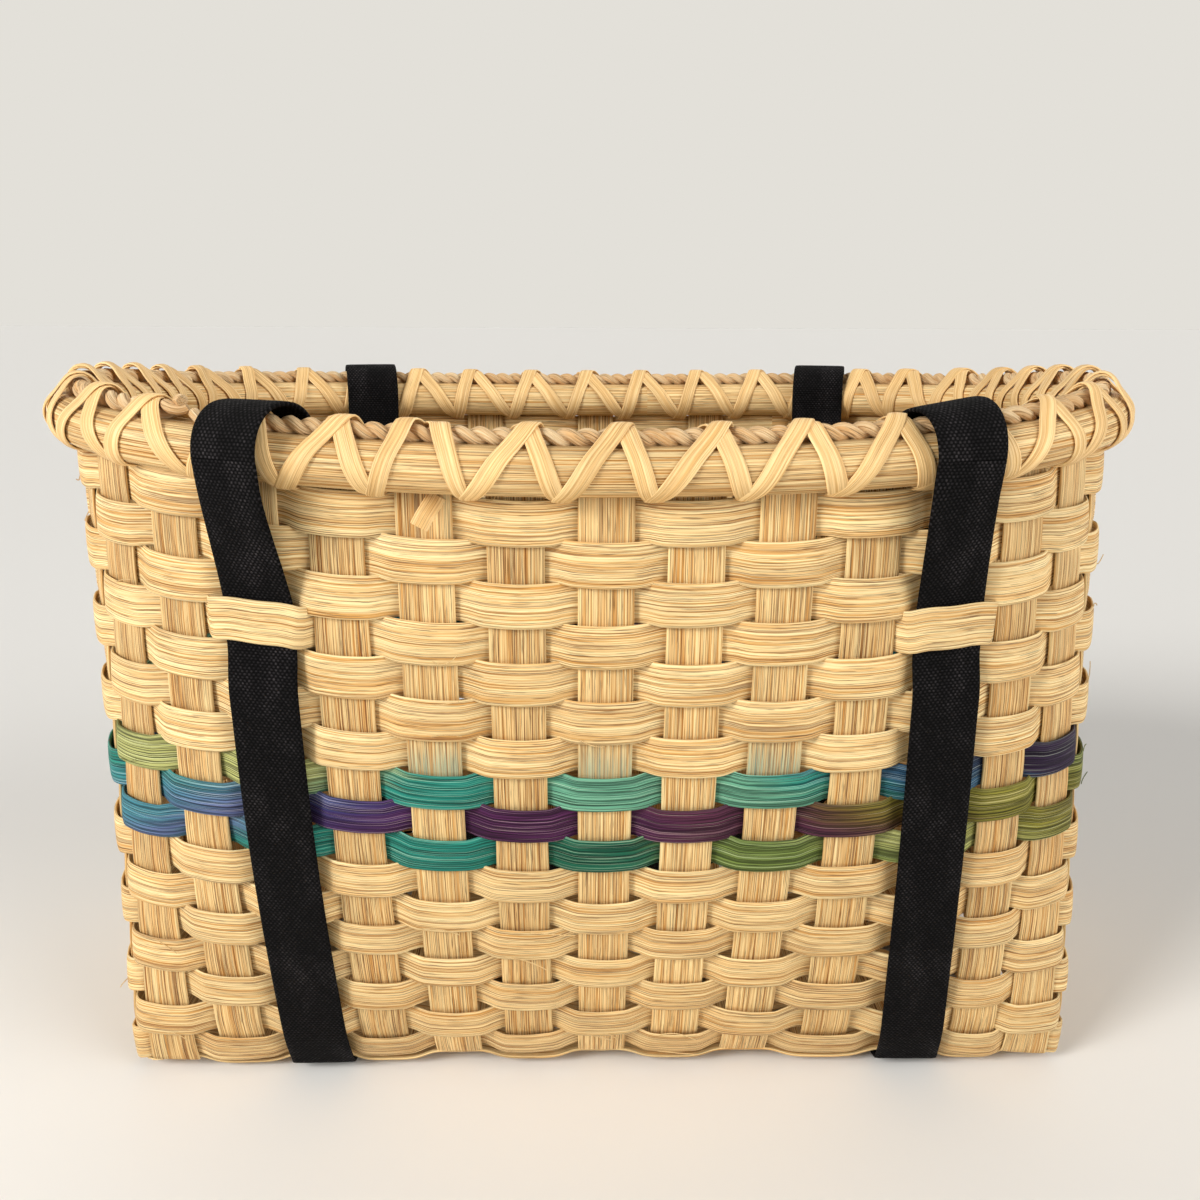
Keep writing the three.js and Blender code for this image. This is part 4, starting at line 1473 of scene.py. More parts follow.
@dataclass
class Weaving:
    """Rows of weaving: each strip passes out and in round the stakes, and its ends lap behind them."""

    shop: Workshop
    straps: StrapPlan
    steps: int = 16
    lift: float = 1.55 * MM
    bulge: float = 0.55 * MM
    pressed_lift: float = 1.5 * MM
    keeper_lift: float = 3.5 * MM
    keeper_rise: float = 2.7 * MM
    dip: float = 0.3 * MM
    sag: float = 0.35 * MM
    half_stake: float = 0.3
    half_keeper: float = 0.49
    keeper_bulge: float = 0.4 * MM
    kept_flat: float = 0.2
    kept_fade: float = 0.8
    first_start: int = 20
    start_choices: int = 6
    lap: float = 2.3
    lap_lift: float = 0.55 * MM
    lap_before: float = 0.9
    lap_ease: float = 0.5
    end_thin: float = 0.55
    end_run: float = 0.4
    lift_wander: Wander = (30, 0.05)
    level_wander: Wander = (9, 0.22 * MM)
    width_wander: Wander = (24, 0.012)
    swell: float = 0.045
    # Tone of each row, low near the base: painted shade that darkens the lower rows.
    painted_row_shade: Table = ((1, 0.25), (6, 0.7), (11, 0.8), (17, 0.9))
    tone_range: float = 0.12
    fibres: int = 6
    fibre: LooseFibre = LooseFibre()
    row_seed: int = 100
    fibre_seed: int = 700
    widths: Table = (
        (7, 0.03), (8, 0.035), (10, 0.035), (11, 0.05), (12, 0.09), (13, 0.08), (14, 0.07),
    )
    dyes: dict[int, tuple[ReedFinish, str]] = field(
        default_factory=lambda: {
            8: (GREEN_DYE, "dyed_green"),
            9: (PURPLE_DYE, "dyed_purple"),
            10: (TEAL_DYE, "dyed_teal"),
        }
    )

    def build(self) -> None:
        """Makes every row, and the row behind the rim."""
        for row in range(1, FORM.rows + 2):
            finish, slot = self.dyes.get(row, (WEAVER_REED, "weaver_reed"))
            node = "rim_row" if row > FORM.rows else f"weaver_row_{row:02d}"
            material = self.shop.material(finish)
            spines = [self._spine(row)] + self._fibres(row)
            piece = self.shop.strips.strip(f"woven_{node}", spines, Section.WEAVER, material)
            self.shop.settle(piece, slot, "basket", node)

    def _hold(self, row: int, stake: int) -> tuple[float, float, float]:
        """How a row passes one stake.

        Args:
            row: The row.
            stake: The stake, counted on past once round.

        Returns:
            Half the width over which it lies flat, in pitches; its distance out; and its bulge there.
        """
        number = (stake - 1) % FORM.stakes + 1
        if not FORM.outside(number, row):
            return self.half_stake, -self.lift, -self.bulge
        if number not in self.straps.stakes:
            return self.half_stake, self.lift, self.bulge
        if self.straps.keeper(number) == row:
            return self.half_keeper, self.keeper_lift, self.keeper_bulge
        return self.half_stake, self.pressed_lift, 0.0

    def _lifts(self, row: int, stake: np.ndarray) -> np.ndarray:
        """Distances out of the wall along a row.

        Args:
            row: The row.
            stake: Stake numbers along it.

        Returns:
            The distances.
        """
        first, last = int(stake[0]) - 2, int(stake[-1]) + 3
        holds = np.array([self._hold(row, number) for number in range(first, last + 1)])
        numbers = np.arange(first, last + 1)
        edges = np.stack([numbers - holds[:, 0], numbers + holds[:, 0]], -1).ravel()
        lifts = np.repeat(holds[:, 1], 2)
        after = np.searchsorted(edges, stake, side="right")
        share = (stake - edges[after - 1]) / (edges[after] - edges[after - 1])
        lift = lifts[after - 1] + (lifts[after] - lifts[after - 1]) * eased(share)
        nearest = np.round(stake).astype(int)
        return lift + holds[nearest - first, 2] * np.cos(math.pi * (stake - nearest)) ** 2

    def _kept(self, row: int, stake: np.ndarray) -> np.ndarray:
        """Where a row passes over a strap: 1 there and 0 elsewhere.

        Args:
            row: Number of the row.
            stake: Stake numbers.

        Returns:
            Shares from 0 to 1.
        """
        kept = [number for number in self.straps.stakes if self.straps.keeper(number) == row]
        if not kept:
            return np.zeros_like(stake)
        away = np.min([np.abs(FORM.apart(stake, number)) for number in kept], axis=0)
        return 1 - eased((away - self.kept_flat) / self.kept_fade)

    def _fibres(self, row: int) -> list[Spine]:
        """Paths of fine fibres that have come loose along the edges of a row.

        Args:
            row: The row.

        Returns:
            The paths; none behind the rim.
        """
        rng = np.random.default_rng(self.fibre_seed + row)
        fibre = self.fibre
        share = np.linspace(0, 1, fibre.points)
        spines = []
        for _ in range(self.fibres if row <= FORM.rows else 0):
            stake = 2 * int(rng.integers(1, FORM.stakes // 2 + 1)) - row % 2 + 1
            place = stake + rng.uniform(*fibre.start) + rng.uniform(*fibre.length) * share
            edge = rng.choice([-1.0, 1.0])
            drift = rng.uniform(*fibre.drift) * share**2
            drift = drift + rng.normal(0, fibre.bend) * np.sin(math.pi * share)
            height = FORM.row_level(row, place) + edge * (fibre.edge * FORM.weaver_width + drift)
            _, _, out = FORM.ways(place, height)
            rise = rng.uniform(*fibre.rise) * share**fibre.rise_power
            lift = self.lift + self.bulge + fibre.stand + rise
            points = FORM.wall(place, height) + out * lift[:, None]
            narrow = fibre.narrow + fibre.taper * share
            if min(abs(stake - strap) for strap in self.straps.stakes) > 1:
                start = rng.uniform(0, GRAIN_LENGTH)
                turn = np.mod(place / FORM.stakes, 1.0)
                spines.append(Spine(points, out, 1.0, start, narrow, fibre.thin, turn))
        return spines

    def _spine(self, row: int) -> Spine:
        """Path of one row.

        Args:
            row: The row.

        Returns:
            The path, from behind one stake once round and on behind the next.
        """
        rng = np.random.default_rng(self.row_seed + row)
        first = self.first_start + 2 * int(rng.integers(0, self.start_choices)) + row % 2
        length = FORM.stakes + self.lap
        stake = first + np.linspace(-0.5, length - 0.5, int(length * self.steps))
        turn = stake / FORM.stakes
        lift = self._lifts(row, stake) * (1 + wandering(rng, turn, *self.lift_wander))
        lean = np.clip(lift / self.lift, -1, 1)
        middle = np.cos(math.pi * (stake - np.round(stake))) ** 2
        height = FORM.row_level(row, stake) - self.dip * lean - self.sag * middle * (lift > 0)
        height = height + wandering(rng, turn, *self.level_wander)
        height = height + self.keeper_rise * self._kept(row, stake)
        _, _, out = FORM.ways(stake, height)
        past = stake - first - FORM.stakes + self.lap_before
        lapped = self.lap_lift * eased(past / self.lap_ease) * np.sign(lift)
        points = FORM.wall(stake, height) + out * (lift + lapped)[:, None]
        wider = looked_up(self.widths, row) + wandering(rng, turn, *self.width_wander)
        spread = wider + (-self.swell if row in self.dyes else self.swell) * np.abs(lean)
        ends = np.minimum(stake - stake[0], stake[-1] - stake)
        thin = -self.end_thin * (1 - eased(ends / (self.lap + self.end_run)))
        # Painted shade that grows darker towards the base, and a random tone for each row.
        tone = looked_up(self.painted_row_shade, row) + rng.uniform(-self.tone_range, self.tone_range)
        start = rng.uniform(0, GRAIN_LENGTH)
        return Spine(points, out, tone, start, spread * (row <= FORM.rows), thin, np.mod(turn, 1.0))


@dataclass
class Stakes:
    """Stakes that cross in the base and stand up the walls."""

    shop: Workshop
    rise_steps: int = 110
    short_steps: int = 60
    long_steps: int = 240
    fold: float = 1.5 * MM
    floor_fold: float = 3 * MM
    fold_steps: int = 8
    fold_pull: float = 0.35
    plaited: int = 8
    plait_sharpness: float = 1.9
    plait_fade: float = 8 * MM
    middle_reach: float = 0.1
    sway: float = 0.22 * MM
    sway_fade: float = 20 * MM
    narrowing: float = 0.01
    width_wander: Wander = (20, 0.008)
    seed: int = 500
    seed_step: int = 7
    bleed_row: int = 10
    bleed_zone: Zone = Zone(0.2, 0.3, 1.6, 1.0)
    bleeds: dict[int, float] = field(default_factory=lambda: {3: 0.25, 5: 0.55, 7: 0.5, 9: 0.6, 11: 0.35})

    def build(self) -> None:
        """Makes the stakes that run front to back and those that run end to end."""
        for number in range(1, FORM.short_stakes + 1):
            back = FORM.stakes // 2 + 2 * FORM.front_middle - number
            self._stake(f"short_stake_{number:02d}", number, back, self._short_floor(number))
        for number in range(1, FORM.long_stakes + 1):
            left, right = FORM.stakes + 1 - number, FORM.short_stakes + number
            self._stake(f"long_stake_{number:02d}", left, right, self._long_floor(number))

    def _stake(self, node: str, down: int, up: int, floor: np.ndarray) -> None:
        """Makes one stake.

        Args:
            node: Its node in the frame.
            down: Its number on the wall that its path comes down.
            up: Its number on the wall that it goes up.
            floor: Points across the base.
        """
        spine = self._spine(down, up, floor)
        material = self.shop.material(STAKE_REED)
        piece = self.shop.strips.strip(f"woven_{node}", [spine], Section.STAKE, material)
        self.shop.settle(piece, "stake_reed", "basket", node)

    def _short_floor(self, number: int) -> np.ndarray:
        """Points of a short stake across the base.

        Args:
            number: Number of the stake.

        Returns:
            Points from the front to the back.
        """
        reach = FORM.half_depth - FORM.base_tuck - FORM.lower_push - self.floor_fold
        y = np.linspace(-reach, reach, self.short_steps)
        true = (number - FORM.front_middle) * FORM.pitch
        x = np.full_like(y, true + FORM.slip(true))
        return np.stack([x, y, FORM.base_z + FORM.dome(x)], -1)

    def _long_floor(self, number: int) -> np.ndarray:
        """Points of a long stake across the base, over and under the short ones.

        Args:
            number: Number of the stake.

        Returns:
            Points from the left to the right.
        """
        reach = FORM.half_length - FORM.base_tuck - self.floor_fold
        x = np.linspace(-reach, reach, self.long_steps)
        numbers = np.arange(-self.plaited, self.plaited + 1)
        crossed = numbers * FORM.pitch
        turn = np.interp(x, crossed + FORM.slip(crossed), numbers) + FORM.front_middle + number
        side = np.tanh(self.plait_sharpness * np.cos(math.pi * turn)) / math.tanh(self.plait_sharpness)
        lift = FORM.base_lift * side * eased((reach - np.abs(x)) / self.plait_fade)
        y = np.full_like(x, (number - (FORM.long_stakes + 1) / 2) * FORM.pitch)
        return np.stack([x, y, FORM.base_z + FORM.dome(x) + lift], -1)

    def _standing(self, stake: int) -> tuple[np.ndarray, np.ndarray, np.ndarray]:
        """The part of a stake that stands up a wall.

        Args:
            stake: Its number on that wall.

        Returns:
            Points from the base up, the ways that its face looks, and how far dye has bled into it.
        """
        height = np.linspace(FORM.base_z + self.fold, FORM.stake_tip_z, self.rise_steps)
        reach = self.middle_reach
        local = np.linalg.norm(FORM.wall(stake + reach, height) - FORM.wall(stake - reach, height), axis=1)
        half = FORM.stake_width * reach / local
        middle = (FORM.wall(stake + half, height) + FORM.wall(stake - half, height)) / 2
        _, _, out = FORM.ways(stake, height, FORM.face_reach)
        row = FORM.row_at(height)
        fade = eased((FORM.rim_z - height) / self.sway_fade)
        sway = -self.sway * np.cos(math.pi * (row + stake + 1)) * fade
        bleed = self.bleed_zone.share(row - self.bleed_row) * self.bleeds.get(stake, 0.0)
        return middle + out * sway[:, None], out, bleed

    def _spine(self, down: int, up: int, floor: np.ndarray) -> Spine:
        """Path of a whole stake.

        Args:
            down: Number of the stake on the wall that the path comes down.
            up: Number on the wall that it goes up.
            floor: Points across the base, from the first wall to the second.

        Returns:
            The path.
        """
        first, first_out, first_bleed = (column[::-1] for column in self._standing(down))
        last, last_out, last_bleed = self._standing(up)
        under = np.tile(-UP, (len(floor), 1))
        near, near_out = self._bend(first[-1], floor[0], first_out[-1])
        far, far_out = self._bend(last[0], floor[-1], last_out[0])
        points = np.concatenate([first, near, floor, far[::-1], last])
        facing = np.concatenate([first_out, near_out, under, far_out[::-1], last_out])
        bleed = np.zeros(len(points))
        bleed[: len(first_bleed)] = first_bleed
        bleed[-len(last_bleed) :] = last_bleed
        rng = np.random.default_rng(self.seed + down * self.seed_step + up)
        wander = wandering(rng, np.linspace(0, 1, len(points)), *self.width_wander)
        tone, start = rng.uniform(0.0, 1.0), rng.uniform(0, GRAIN_LENGTH)
        return Spine(points, facing, tone, start, wander - self.narrowing, bleed=bleed)

    def _bend(self, wall: np.ndarray, floor: np.ndarray, out: np.ndarray) -> tuple[np.ndarray, np.ndarray]:
        """The fold of a stake from a wall to the base.

        Args:
            wall: Lowest point on the wall.
            floor: First point on the base.
            out: Way that the face looks at the wall.

        Returns:
            Points from wall to base between those two, and the ways that the face looks.
        """
        share = np.linspace(0, 1, self.fold_steps + 2)[1:-1, None]
        corner = np.array([wall[0], wall[1], floor[2]])
        corner = corner + (floor - corner) * self.fold_pull
        points = (1 - share) ** 2 * wall + 2 * share * (1 - share) * corner + share**2 * floor
        return points, unit((1 - share) * out - share * UP)


@dataclass(frozen=True)
class LashingPass:
    """One pass of lashing: its way round, what it gains outside each turn, and its tied-off turn."""

    node: str
    heading: int
    gain: float
    stack: float
    tied_turn: int
    tied_gain: float


@dataclass(frozen=True)
class LashingPlan:
    """How both passes of lashing go round the rims; places are stake numbers or shares of a turn."""

    clear: float = 0.5 * MM
    spare: float = 0.12 * MM
    slot: float = 4.5
    steps: int = 56
    climb: float = 0.09
    climb_gain: float = 0.02
    crest_run: float = 0.14
    foot_run: float = 0.16
    foot_stack: float = 0.85
    slip: float = 0.03
    end_slack: float = 0.8 * MM
    slack_from: float = 140 * MM
    slack_run: float = 35 * MM
    strap_lean: float = 0.3
    lean_stake: float = 2.0
    lean_width: float = 1.2
    tone: float = 0.6
    grain_step: float = 0.3
    width_wander: Wander = (60, 0.035)
    seed: int = 31


@dataclass(frozen=True)
class LashingTail:
    """The loose end of the lashing, from under the rim out and down."""

    points: int = 14
    stake: float = 5.16
    aside: float = -0.17
    seat: float = 1.2 * MM
    out: float = 6.4 * MM
    out_pace: float = 1.5
    back: float = 0.6 * MM
    above: float = -8.2 * MM
    drop: float = 8.6 * MM
    tilt: float = 0.15
    grain: float = 0.05
    narrowing: float = 0.04


@dataclass(frozen=True)
class RopePlan:
    """The rope on top of the rims: its lay, its low start, and its end that curls up beside the start."""

    above: float = 9.4 * MM
    diameter: float = 6.5 * MM
    strands: int = 2
    strand_share: float = 0.285
    outline_points: int = 61
    lay: float = 12.6 * MM
    points: int = 1900
    start: float = 2.4
    end: float = 2.33
    low_to: float = 2.9
    low_run: float = 0.5
    low_drop: float = 0.8 * MM
    curl_from: float = 1.95
    curl_run: float = 0.42
    curl_out: float = 1.2 * MM
    curl_rise: float = 3.4 * MM


@dataclass
class Rim:
    """Half-round rims on both faces of the wall, a rope along the top, and the lashing that holds them."""

    shop: Workshop
    front_drop: float = 1.9 * MM
    back_drop: float = 0.6 * MM
    drop_depth: float = 240 * MM
    seat: float = 2.35 * MM
    height: float = 15.3 * MM
    depth: float = 8 * MM
    outer_start: float = 24.2
    inner_start: float = 26.2
    outline_points: int = 41
    level_slack: float = 0.01 * MM
    ring_points: int = 640
    ring_lap: float = 1.6
    scarf_thin: float = 0.75
    scarf_run: float = 1.5
    scarf_narrow: float = 0.05
    lap_thin: float = 0.12
    lap_run: float = 0.6
    ring_tone: float = 0.75
    outer_tone: float = 0.35
    ring_grain: float = 0.7
    rope: RopePlan = RopePlan()
    lashing: LashingPlan = LashingPlan()
    tail: LashingTail = LashingTail()
    passes: tuple[LashingPass, ...] = (
        LashingPass("lashing_return", -1, 0.32, 0.0, 37, 0.24),
        LashingPass("lashing_forward", 1, 0.69, 0.85 * MM, 0, 0.33),
    )

    def build(self) -> None:
        """Makes the rims, the rope and both passes of lashing."""
        strips = self.shop.strips
        for node, side, start in (("outer_rim", 1, self.outer_start), ("inner_rim", -1, self.inner_start)):
            material = self.shop.material(RIM_REED)
            piece = strips.strip(f"reed_{node}", [self._ring(side, start)], Section.HALF_ROUND, material)
            self.shop.settle(piece, "rim_reed", "basket", node)
        self._rope()
        for lashing in self.passes:
            spines = [self._wound(lashing)] + ([self._hanging()] if lashing.stack else [])
            material = self.shop.material(LASHING_REED)
            piece = strips.strip(f"reed_{lashing.node}", spines, Section.LASHING, material)
            self.shop.settle(piece, "rim_reed", "basket", lashing.node)

    def point(self, stake: Any, distance: Any, above: Any) -> np.ndarray:
        """Points by stake number, distance out of the wall and height above the middle of the rims.

        Args:
            stake: Stake numbers.
            distance: Distances out of the wall.
            above: Heights above the middle of the rims.

        Returns:
            The points.
        """
        points = FORM.rim_point(stake, distance, above)
        share = np.clip(0.5 + points[..., 1] / self.drop_depth, 0, 1)
        points[..., 2] -= self.front_drop + (self.back_drop - self.front_drop) * share
        return points

    def _ring(self, side: int, start: float) -> Spine:
        """Path of one rim, with its two ends lapped.

        Args:
            side: 1 outside the wall, -1 inside.
            start: Stake number where it starts.

        Returns:
            The path, once round and past its start.
        """
        stake = start + np.linspace(0, FORM.stakes + self.ring_lap, self.ring_points) * side
        points = self.point(stake, np.full_like(stake, side * self.seat), 0.0)
        run = np.abs(stake - start)
        lapped = self.lap_thin * eased((run - FORM.stakes) / self.lap_run)
        thin = -self.scarf_thin * (1 - eased(run / self.scarf_run)) - lapped
        spread = -self.scarf_narrow * (1 - eased(run))
        tone = self.ring_tone - self.outer_tone * side
        return Spine(points, FORM.rim_out(stake) * side, tone, self.ring_grain + side, spread, thin)

    def _rope(self) -> None:
        """Makes the rope along the top, whose end curls up beside its start."""
        rope = self.rope
        stake = np.linspace(rope.start, rope.end + FORM.stakes, rope.points)
        curl = eased((stake - rope.curl_from - FORM.stakes) / rope.curl_run)
        low = eased((rope.low_to - stake) / rope.low_run)
        above = rope.above + rope.curl_rise * curl - rope.low_drop * low
        points = self.point(stake, rope.curl_out * curl, above)
        path = PathMesh.make("rope_filler", [Spine(points, np.tile(UP, (len(stake), 1)))])
        strand = rope.diameter * rope.strand_share
        values = {
            "Strands": rope.strands,
            "Strand Radius": strand,
            "Lay Radius": rope.diameter / 2 - strand,
            "Lay Length": rope.lay,
            "Material": self.shop.material(ROPE),
        }
        self.shop.settle(self.shop.ropes.apply(path, values), "rope", "basket", "rim_filler")

    def _outline(self) -> tuple[np.ndarray, np.ndarray]:
        """Outline of rims and rope that the lashing goes round.

        Returns:
            Points as distance out and height, from under the rims outwards, over and back; and the ways out.
        """
        angle = np.linspace(-math.pi / 2, math.pi / 2, self.outline_points)
        outer = np.stack([self.seat + self.depth * np.cos(angle), self.height / 2 * np.sin(angle)], -1)
        turn = np.linspace(0, 2 * math.pi, self.rope.outline_points)
        rope = self.rope.diameter / 2 * np.stack([np.cos(turn), np.sin(turn)], -1) + [0, self.rope.above]
        hull = self._hull(np.concatenate([outer, outer * [-1, 1], rope]))
        lowest = hull[:, 1] < hull[:, 1].min() + self.level_slack
        start = int(np.argmax(np.where(lowest, hull[:, 0], -1.0)))
        foot = [[0.0, hull[:, 1].min()]]
        ring = np.concatenate([foot, np.roll(hull, -start, axis=0), foot])
        run = run_along(ring)
        even = np.linspace(0, run[-1], self.lashing.steps + 1)[:-1]
        points = np.stack([np.interp(even, run, ring[:, axis]) for axis in (0, 1)], -1)
        for _ in range(2):
            points = (np.roll(points, 1, 0) + 2 * points + np.roll(points, -1, 0)) / 4
        along = np.roll(points, -1, 0) - np.roll(points, 1, 0)
        return points, unit(np.stack([along[:, 1], -along[:, 0]], -1))

    @staticmethod
    def _hull(points: np.ndarray) -> np.ndarray:
        """Convex outline of points.

        Args:
            points: Points in a plane.

        Returns:
            Corners of the outline, turning left.
        """
        ordered = points[np.lexsort((points[:, 1], points[:, 0]))]

        def chain(rows: np.ndarray) -> list[np.ndarray]:
            """Lower side of the outline of sorted points.

            Args:
                rows: The sorted points.

            Returns:
                The points on the outline.
            """
            kept: list[np.ndarray] = []
            for row in rows:
                while len(kept) > 1:
                    first, second = kept[-1] - kept[-2], row - kept[-1]
                    if first[0] * second[1] - first[1] * second[0] > 0:
                        break
                    kept.pop()
                kept.append(row)
            return kept

        return np.array(chain(ordered)[:-1] + chain(ordered[::-1])[:-1])

    def _wound(self, lashing: LashingPass) -> Spine:
        """Path of one pass of lashing, once through every space.

        Args:
            lashing: The pass.

        Returns:
            The path.
        """
        plan = self.lashing
        points, normals = self._outline()
        share = np.arange(plan.steps) / plan.steps
        over = np.sin(math.pi * share) ** 2
        crest = 1 - eased(np.abs(share - 0.5) / plan.crest_run)
        foot = 1 - eased(np.minimum(share, 1 - share) / plan.foot_run)
        stacked = lashing.stack * np.maximum(crest, plan.foot_stack * foot)
        rng = np.random.default_rng(plan.seed + lashing.heading)
        stakes, offsets = [], []
        for turn in range(FORM.stakes):
            gain = lashing.tied_gain if turn == lashing.tied_turn else lashing.gain
            low, high = (plan.climb, plan.climb_gain), (1 - plan.climb, 1 - plan.climb_gain)
            gained = looked_up(((0, 0), low, (0.5, gain), high, (1, 1)), share)
            place = plan.slot + lashing.heading * (turn + gained + rng.normal(0, plan.slip) * over)
            beside = np.exp(-(FORM.apart(place, plan.lean_stake) ** 2) / plan.lean_width)
            stakes.append(place - plan.strap_lean * beside * over)
            along = np.abs(FORM.rim_plan(stakes[-1])[:, 0])
            loose = plan.end_slack * eased((along - plan.slack_from) / plan.slack_run)
            clear = plan.clear + stacked + plan.spare * rng.uniform(0, 1) + loose * over
            offsets.append(points + normals * clear[:, None])
        stake, offset = np.concatenate(stakes), np.concatenate(offsets)
        normal = np.tile(normals, (FORM.stakes, 1))
        path = self.point(stake, offset[:, 0], offset[:, 1])
        out = FORM.rim_out(stake) * normal[:, :1] + UP * normal[:, 1:]
        spread = wandering(rng, np.linspace(0, 1, len(path)), *plan.width_wander)
        return Spine(path, out, plan.tone, plan.grain_step * lashing.heading, spread)

    def _hanging(self) -> Spine:
        """Path of the loose end of the lashing, which hangs out under the rim.

        Returns:
            The path.
        """
        tail = self.tail
        share = np.linspace(0, 1, tail.points)
        stake = tail.stake + tail.aside * share
        distance = tail.seat + tail.out * eased(share * tail.out_pace) - tail.back * share
        points = self.point(stake, distance, tail.above - tail.drop * share)
        return Spine(points, FORM.rim_out(stake) - tail.tilt * UP, 0.0, tail.grain, -tail.narrowing)


@dataclass(frozen=True)
class Crossing:
    """How webbing crosses the rim: moved along it, turned, rolled to one side, and standing off."""

    shift: float = 0.0
    turn: float = 0.0
    roll: float = 0.0
    off: float = 0.0


@dataclass
class Carriers:
    """Straps up both walls and under the base, the stretches over the rim, and the loop handles."""

    shop: Workshop
    straps: StrapPlan
    rim: Rim
    thickness: float = 1.6 * MM
    wall_lift: float = 3.7 * MM
    kept_lift: float = 1.75 * MM
    arch_reach: float = 12.9 * MM
    arch_rise: float = 15.2 * MM
    arch_squareness: float = 2.2
    fold_share: float = 0.62
    fold_points: int = 34
    bend_from: float = 0.05
    bend_to: float = 0.5
    over_points: int = 20
    leg_points: int = 34
    bow_points: int = 61
    path_step: float = 1.6 * MM
    smooth_points: int = 1500
    base_marks: Span = (24 * MM, 10 * MM)
    foot_heights: tuple[float, ...] = (6 * MM, 10 * MM, 16 * MM, 23 * MM)
    wall_from: float = 34 * MM
    wall_points: int = 12
    below_keeper: float = 6 * MM
    held_shares: tuple[float, ...] = (-0.62, -0.3, 0.0, 0.3, 0.62)
    turn_from: float = 0.4
    under_rim: float = 11 * MM
    rim_inset: float = 1.6 * MM
    leg_x: float = 105.5 * MM
    leg_z: float = 191 * MM
    bow_drop: float = 105 * MM
    lean: float = math.radians(8)
    crossings: dict[int, Crossing] = field(
        default_factory=lambda: {
            3: Crossing(2.4 * MM, math.radians(-13), 0.0, 1.6 * MM),
            11: Crossing(-4.8 * MM, math.radians(5), math.radians(8), 0.6 * MM),
        }
    )

    def build(self) -> None:
        """Makes both straps, the four stretches over the rim and both handles."""
        front_left, front_right, back_right, back_left = self.straps.stakes
        walls = {"strap_left": (front_left, back_left), "strap_right": (front_right, back_right)}
        for node, (front, back) in walls.items():
            path = self._smooth(np.concatenate([self._wall(front)[:0:-1], self._wall(back)]))
            piece = self._webbing(node, path[:, :3], path[:, 3:])
            self.shop.settle(piece, "webbing", "basket", node)
        for name, left, right in (("front", front_left, front_right), ("back", back_left, back_right)):
            self._fold(name, "left", left)
            self._fold(name, "right", right)
            self._handle(name, min(left, right), max(left, right))

    def _webbing(self, node: str, points: np.ndarray, facing: np.ndarray) -> bpy.types.Object:
        """Makes a length of webbing.

        Args:
            node: Node of the frame that it stands for.
            points: Points along its middle.
            facing: Ways that its outer face looks.

        Returns:
            The piece.
        """
        material = self.shop.material(WEBBING)
        return self.shop.strips.strip(f"webbing_{node}", [Spine(points, facing)], Section.WEBBING, material)

    def _wall(self, stake: int) -> np.ndarray:
        """A strap up one wall, from under the middle of the base to the outside of the rim.

        Args:
            stake: Stake that it lies on.

        Returns:
            Rows of a point and the way that the face looks there.
        """
        keeper = float(FORM.row_level(self.straps.keeper(stake), stake))
        base = FORM.wall(stake, FORM.base_z)
        side = math.copysign(1.0, float(base[1]))
        under = self.thickness / 2
        edge = FORM.half_depth - FORM.base_tuck - FORM.lower_push
        flat = (0.0, *(edge - mark for mark in self.base_marks))
        rows = [[base[0], side * y, under, 0, 0, -1] for y in flat]
        low = float(FORM.row_level(self.straps.keeper(stake) - 2, stake)) + self.below_keeper
        held = keeper + np.array(self.held_shares) * FORM.row_pitch
        climb = np.linspace(self.wall_from, low, self.wall_points)
        heights = np.concatenate([self.foot_heights, climb, held])
        lifts = np.where(heights > low + MM, self.kept_lift, self.wall_lift)
        _, _, out = FORM.ways(np.full_like(heights, stake), heights, FORM.face_reach)
        points = FORM.wall(np.full_like(heights, stake), heights) + out * lifts[:, None]
        start, face = self._arch(stake, 0.0, 0.0, 1)
        above = eased((heights - keeper) / FORM.row_pitch - self.turn_from)[:, None]
        rows += np.concatenate([points, unit((1 - above) * out + above * face[0])], axis=1).tolist()
        way, reach, middle = self._across(stake)
        rows.append([*(middle + way * (reach - self.rim_inset) - self.under_rim * UP), *way])
        rows.append([*start[0], *face[0]])
        return np.array(rows, float)

    def _across(self, stake: int) -> tuple[np.ndarray, float, np.ndarray]:
        """How the webbing of a stake crosses the rim.

        Args:
            stake: The stake.

        Returns:
            The level way out, how far out the webbing stands, and the middle of the rim there.
        """
        crossing = self.crossings.get(stake, Crossing())
        out = FORM.rim_out(stake)
        sine, cosine = math.sin(crossing.turn), math.cos(crossing.turn)
        way = np.array([out[0] * cosine - out[1] * sine, out[0] * sine + out[1] * cosine, 0.0])
        middle = self.rim.point(stake, 0.0, 0.0) + np.array([-out[1], out[0], 0.0]) * crossing.shift
        return way, self.arch_reach + crossing.off, middle

    def _smooth(self, rows: np.ndarray) -> np.ndarray:
        """A smooth path through points.

        Args:
            rows: Rows whose first three columns are points that the path passes through.

        Returns:
            Even rows along it.
        """
        run = np.concatenate([[0], np.cumsum(np.sqrt(np.linalg.norm(np.diff(rows[:, :3], axis=0), axis=1)))])
        slope = np.gradient(rows, run, axis=0)
        fine = np.linspace(0, run[-1], self.smooth_points)
        after = np.clip(np.searchsorted(run, fine, side="right"), 1, len(run) - 1)
        width = (run[after] - run[after - 1])[:, None]
        t = (fine - run[after - 1])[:, None] / width
        path = (1 + 2 * t) * (1 - t) ** 2 * rows[after - 1] + t * (1 - t) ** 2 * width * slope[after - 1]
        path += t**2 * (3 - 2 * t) * rows[after] + t**2 * (t - 1) * width * slope[after]
        length = run_along(path[:, :3])
        even = np.linspace(0, length[-1], int(length[-1] / self.path_step) + 2)
        return np.stack([np.interp(even, length, path[:, axis]) for axis in range(path.shape[1])], -1)

